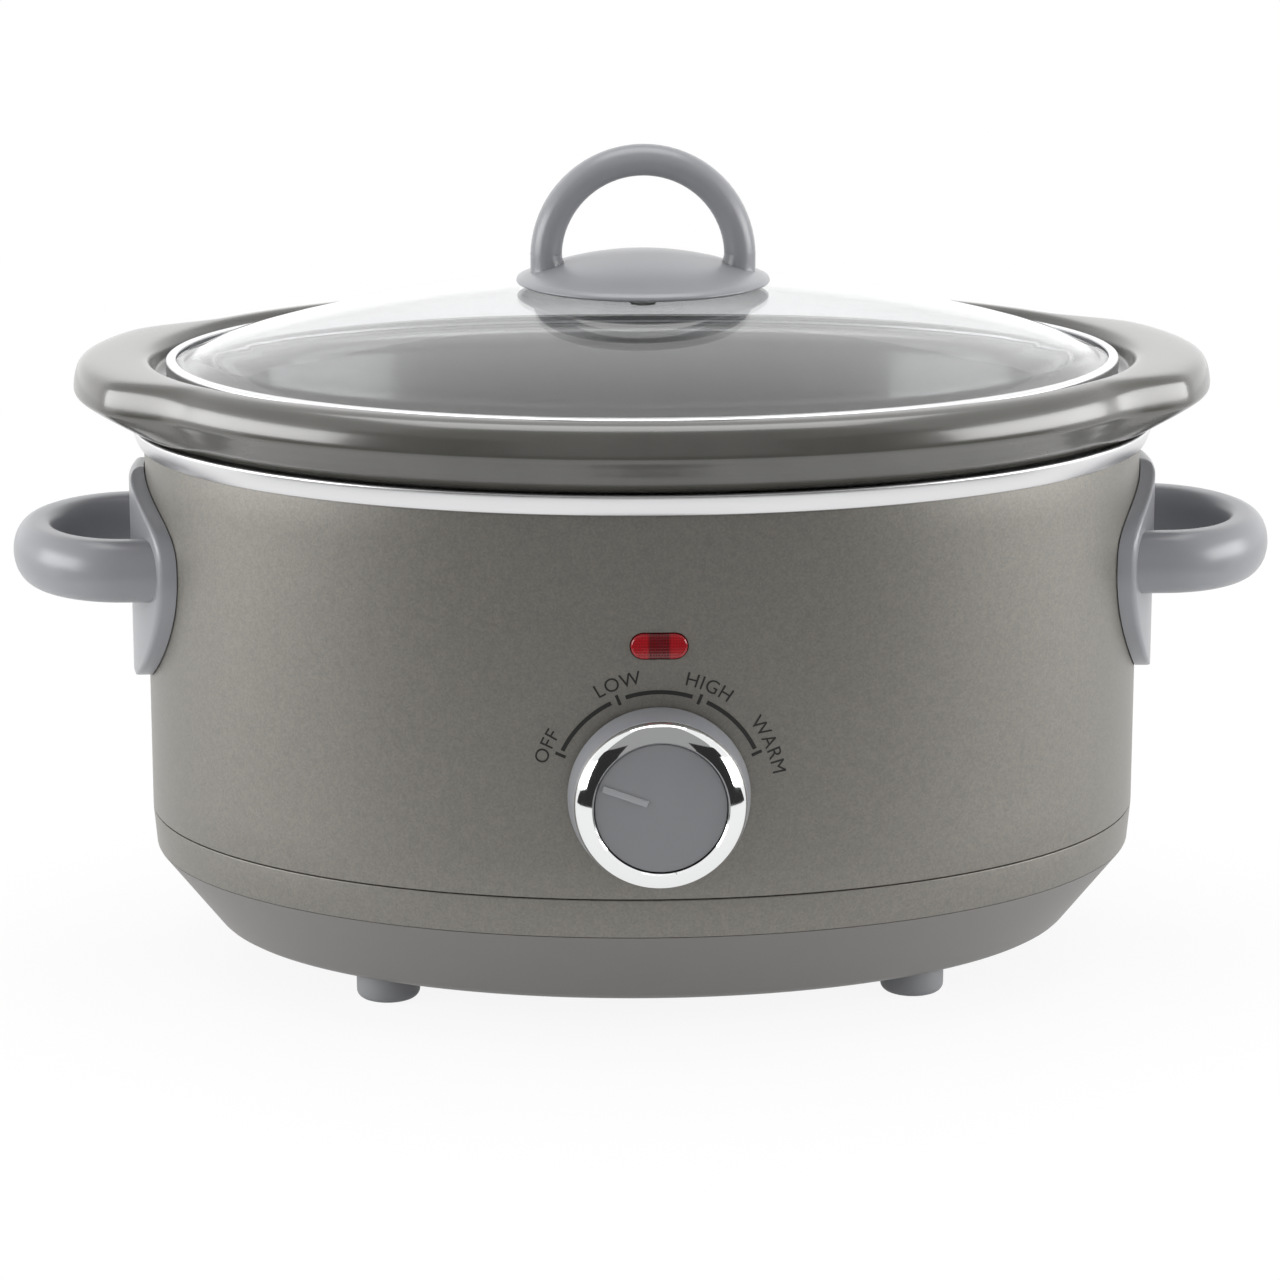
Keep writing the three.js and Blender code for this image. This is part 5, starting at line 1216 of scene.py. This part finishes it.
def word_on_dial(text, middle):
    """A word as a flat mesh, its letters bent round the dial about a middle angle."""
    curve = bpy.data.curves.new("word", "FONT")
    curve.body = text
    curve.align_x = "CENTER"
    curve.space_character = LETTER_GAP
    curve.resolution_u = 4
    seen = in_scene("word", curve).evaluated_get(bpy.context.evaluated_depsgraph_get())
    mesh = bmesh.new()
    mesh.from_mesh(seen.to_mesh())
    bpy.data.curves.remove(curve)
    size = CAP_HEIGHT / max(vert.co.y for vert in mesh.verts)
    for vert in mesh.verts:
        angle = math.radians(middle) - vert.co.x * size / (WORD_FOOT + CAP_HEIGHT / 2)
        radius = WORD_FOOT + vert.co.y * size
        vert.co = (radius * math.cos(angle), radius * math.sin(angle), 0)
    return mesh


for text, middle in WORDS.items():
    data = to_data("word", word_on_dial(text, middle))
    marks.from_mesh(data)
    bpy.data.meshes.remove(data)
print("with the words:", len(marks.faces), "faces")

# %% Lay the print on the curved wall
bmesh.ops.remove_doubles(marks, verts=marks.verts, dist=SLIVER)
for vert in verts_in(bmesh.ops.extrude_face_region(marks, geom=marks.faces[:])["geom"]):
    vert.co.z = INK
for vert in marks.verts:
    across, up, raised = vert.co
    vert.co = (across, MIDDLE_Y - wall_y(SHELL + raised, across), KNOB_Z + up)
bmesh.ops.recalc_face_normals(marks, faces=marks.faces)
if marks.calc_volume(signed=True) < 0:
    bmesh.ops.reverse_faces(marks, faces=marks.faces[:])
piece("printed_scale", marks, PRINT, "base")

# %% [markdown]
# ## Cord gland
# At the back the mains cord would pass through a round gland of black plastic. The cord itself is
# not part of this piece, so the gland's mouth is open. It is one turned outline facing backwards.

# %% Model the gland
GLAND_OUT = gland_high.y - BACK_Y
GLAND_IN = gland_low.y - BACK_Y
CORD_BORE, NECK, BARB = 3.6, 6.2, 7.4
gland = turned([
    (CORD_BORE, GLAND_OUT, 0.8),
    (gland_high.x, GLAND_OUT, 1.2),
    (gland_high.x, PLAY),
    (NECK, PLAY),
    (NECK, -1.6),
    (BARB, -1.8, 0.3),
    (NECK, GLAND_IN, 0.3),
    (CORD_BORE, GLAND_IN),
], around=64, rounds=5)
back_turn = Matrix.Translation((0, BACK_Y, GLAND_Z)) @ Matrix.Rotation(-math.pi / 2, 4, "X")
bmesh.ops.transform(gland, matrix=back_turn, verts=gland.verts)
in_finish("moulded_cord_gland", gland, "black_plastic", "base", ["cord_gland"])

# %% [markdown]
# ## Finishes for the works inside
# The heater, switch, leads and screws keep the shapes of the construction, which are right as they
# are. Each takes the finish of the slot that the record names for it.

# %% Finish the construction's own pieces
dressed = 0
for part in frame["record"]["subparts"]:
    node = frame["nodes"][part["node"]]
    if not node.hide_render:
        node.data.materials.clear()
        node.data.materials.append(FINISHES[part["material_slot"]])
        dressed += 1
print(dressed, "construction pieces dressed")

# %% [markdown]
# ## The studio
# The cooker stands on a plain white sweep. To the lens, and in what metal and glass mirror or bend,
# the sweep and the room are white; all other light meets an ordinary pale board. Near the cooker
# a small share of that board still shows, which keeps the soft shadow, and further out it fades.
# From below the floor is clear, so that the underside shows.

# %% Build the floor and the room
FLOOR_HALF = 4.0
SHADOW_KEPT = 0.1
SHADOW_REACH = (0.35, 0.9)
ROOM_LEVEL = 0.49
BOARD = 0.85


def seen_directly(tree):
    """1 for rays from the camera and for mirrored or bent rays, else 0."""
    rays = add(tree, "LightPath")
    some = add(tree, "Math", {0: rays.outputs["Is Camera Ray"], 1: rays.outputs["Is Glossy Ray"]},
               operation="MAXIMUM")
    more = add(tree, "Math", {0: some.outputs["Value"], 1: rays.outputs["Is Transmission Ray"]},
               operation="MAXIMUM")
    return more.outputs["Value"]


def floor_material():
    material, tree, where = blank("studio_sweep")
    board = add(tree, "BsdfDiffuse", {"Color": (BOARD, BOARD, BOARD, 1)})
    white = add(tree, "Emission", {"Color": (1, 1, 1, 1), "Strength": 1.0})
    out = add(tree, "VectorMath", {0: where}, operation="LENGTH")
    near, far = SHADOW_REACH
    whiteness = add(tree, "MapRange", {"Value": out.outputs["Value"], "From Min": near,
                                       "From Max": far, "To Min": 1 - SHADOW_KEPT, "To Max": 1.0})
    share = add(tree, "Math", {0: seen_directly(tree), 1: whiteness.outputs["Result"]},
                operation="MULTIPLY")
    top = add(tree, "MixShader", {0: share.outputs["Value"], 1: board.outputs["BSDF"],
                                  2: white.outputs["Emission"]})
    clear = add(tree, "BsdfTransparent")
    side = add(tree, "NewGeometry").outputs["Backfacing"]
    both = add(tree, "MixShader", {0: side, 1: top.outputs["Shader"], 2: clear.outputs["BSDF"]})
    add(tree, "OutputMaterial", {"Surface": both.outputs["Shader"]})
    return material


floor = bmesh.new()
bmesh.ops.create_grid(floor, x_segments=1, y_segments=1, size=FLOOR_HALF)
floor_data = to_data("floor", floor)
floor_data.materials.append(floor_material())
floor_object = in_scene("floor", floor_data)
floor_object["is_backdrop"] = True

world = bpy.data.worlds.new("studio")
world.use_nodes = True
bpy.context.scene.world = world
room = world.node_tree
room.nodes.clear()
level = add(room, "MapRange", {"Value": seen_directly(room), "To Min": ROOM_LEVEL, "To Max": 1.0})
sky = add(room, "Background", {"Color": (1, 1, 1, 1), "Strength": level.outputs["Result"]})
add(room, "OutputWorld", {"Surface": sky.outputs["Background"]})
print("room level", ROOM_LEVEL)

# %% [markdown]
# ## Lamps and cards
# Two low softboxes stand at the sides, two look down from behind and one hangs above. Metal in a
# white room would look like chalk, so a studio lets the room beyond the table fall dark. Black and
# grey cards play that part here, and a brighter one behind gives the glass its sheen. They are seen
# only in reflections, and throw no shadow. All the sizes here are in metres.

# %% Hang the lamps
AIM = Vector((0, 0, 0.1))


def softbox(name, place, size, power):
    """A rectangular lamp aimed at the middle of the cooker."""
    lamp = bpy.data.lights.new(name, "AREA")
    lamp.shape = "RECTANGLE"
    lamp.size, lamp.size_y = size
    lamp.energy = power
    holder = in_scene(name, lamp)
    holder.location = place
    holder.rotation_euler = (AIM - Vector(place)).to_track_quat("-Z", "Y").to_euler()
    return holder


for side, hand in ((-1, "left"), (1, "right")):
    softbox(f"{hand}_softbox", place=(side * 1.5, -0.34, 0.38), size=(1.3, 0.65), power=16)
    rear = softbox(f"{hand}_rear_softbox", place=(side * 0.75, 1.5, 1.0), size=(0.9, 0.9), power=5)
    rear.visible_camera = rear.visible_transmission = rear.visible_glossy = False
softbox("top_softbox", place=(0, 0.1, 1.6), size=(1.4, 1.0), power=14)
print(f"five softboxes aimed {AIM.z:.1f} above the floor")

# %% Bend the cards round the cooker
DARK, GREY, BRIGHT = 0.03, 0.36, 1.3
CARD_AWAY, CARD_TOP = 2.2, 1.4
TABLE_NEAR, TABLE_Z = 0.40, 0.002


def card(name, tone, start, end, low, high):
    """A card of even tone that only mirrored rays can see, bent round the cooker.

    It runs between two headings, in degrees from the front, and from a low place to a high one, each
    given as a distance and a height.
    """
    mesh = spun_band(bmesh.new(), [(low[0], 0, low[1]), (high[0], 0, high[1])],
                     start - 90, end - 90, steps=24)
    material, tree, _ = blank("card_board")
    glow = add(tree, "Emission", {"Color": (tone, tone, tone, 1), "Strength": 1.0})
    add(tree, "OutputMaterial", {"Surface": glow.outputs["Emission"]})
    data = to_data(name, mesh)
    data.materials.append(material)
    thing = in_scene(name, data)
    thing.visible_camera = thing.visible_diffuse = thing.visible_shadow = False
    thing.visible_transmission = False
    thing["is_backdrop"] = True
    print(f"{name}: tone {tone}, from {start} to {end} degrees")


card("table_edge", DARK, -78, 78, (TABLE_NEAR, TABLE_Z), (CARD_AWAY, TABLE_Z))
card("left_dark", DARK, -58, -24, (CARD_AWAY, 0), (CARD_AWAY, CARD_TOP))
card("right_dark", DARK, 24, 58, (CARD_AWAY, 0), (CARD_AWAY, CARD_TOP))
card("front_grey", GREY, -24, 24, (CARD_AWAY, 0), (CARD_AWAY, CARD_TOP))
card("upper_grey", GREY, -50, 50, (CARD_AWAY, CARD_TOP), (CARD_AWAY, 7.0))
card("back_white", BRIGHT, 100, 260, (CARD_AWAY, 0), (CARD_AWAY, 1.6))

# %% [markdown]
# ## Sizes and finish
# The last cell sets a plain view transform and prints the box of the construction and the box of
# what is seen, so that the two can be compared.

# %% Write the sizes and finish
scene = bpy.context.scene
scene.view_settings.view_transform = "Standard"
visual_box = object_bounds()
for corner, seen in zip(construction_box, visual_box):
    print("box corners, mm:", [round(c / MM, 2) for c in corner], [round(c / MM, 2) for c in seen])
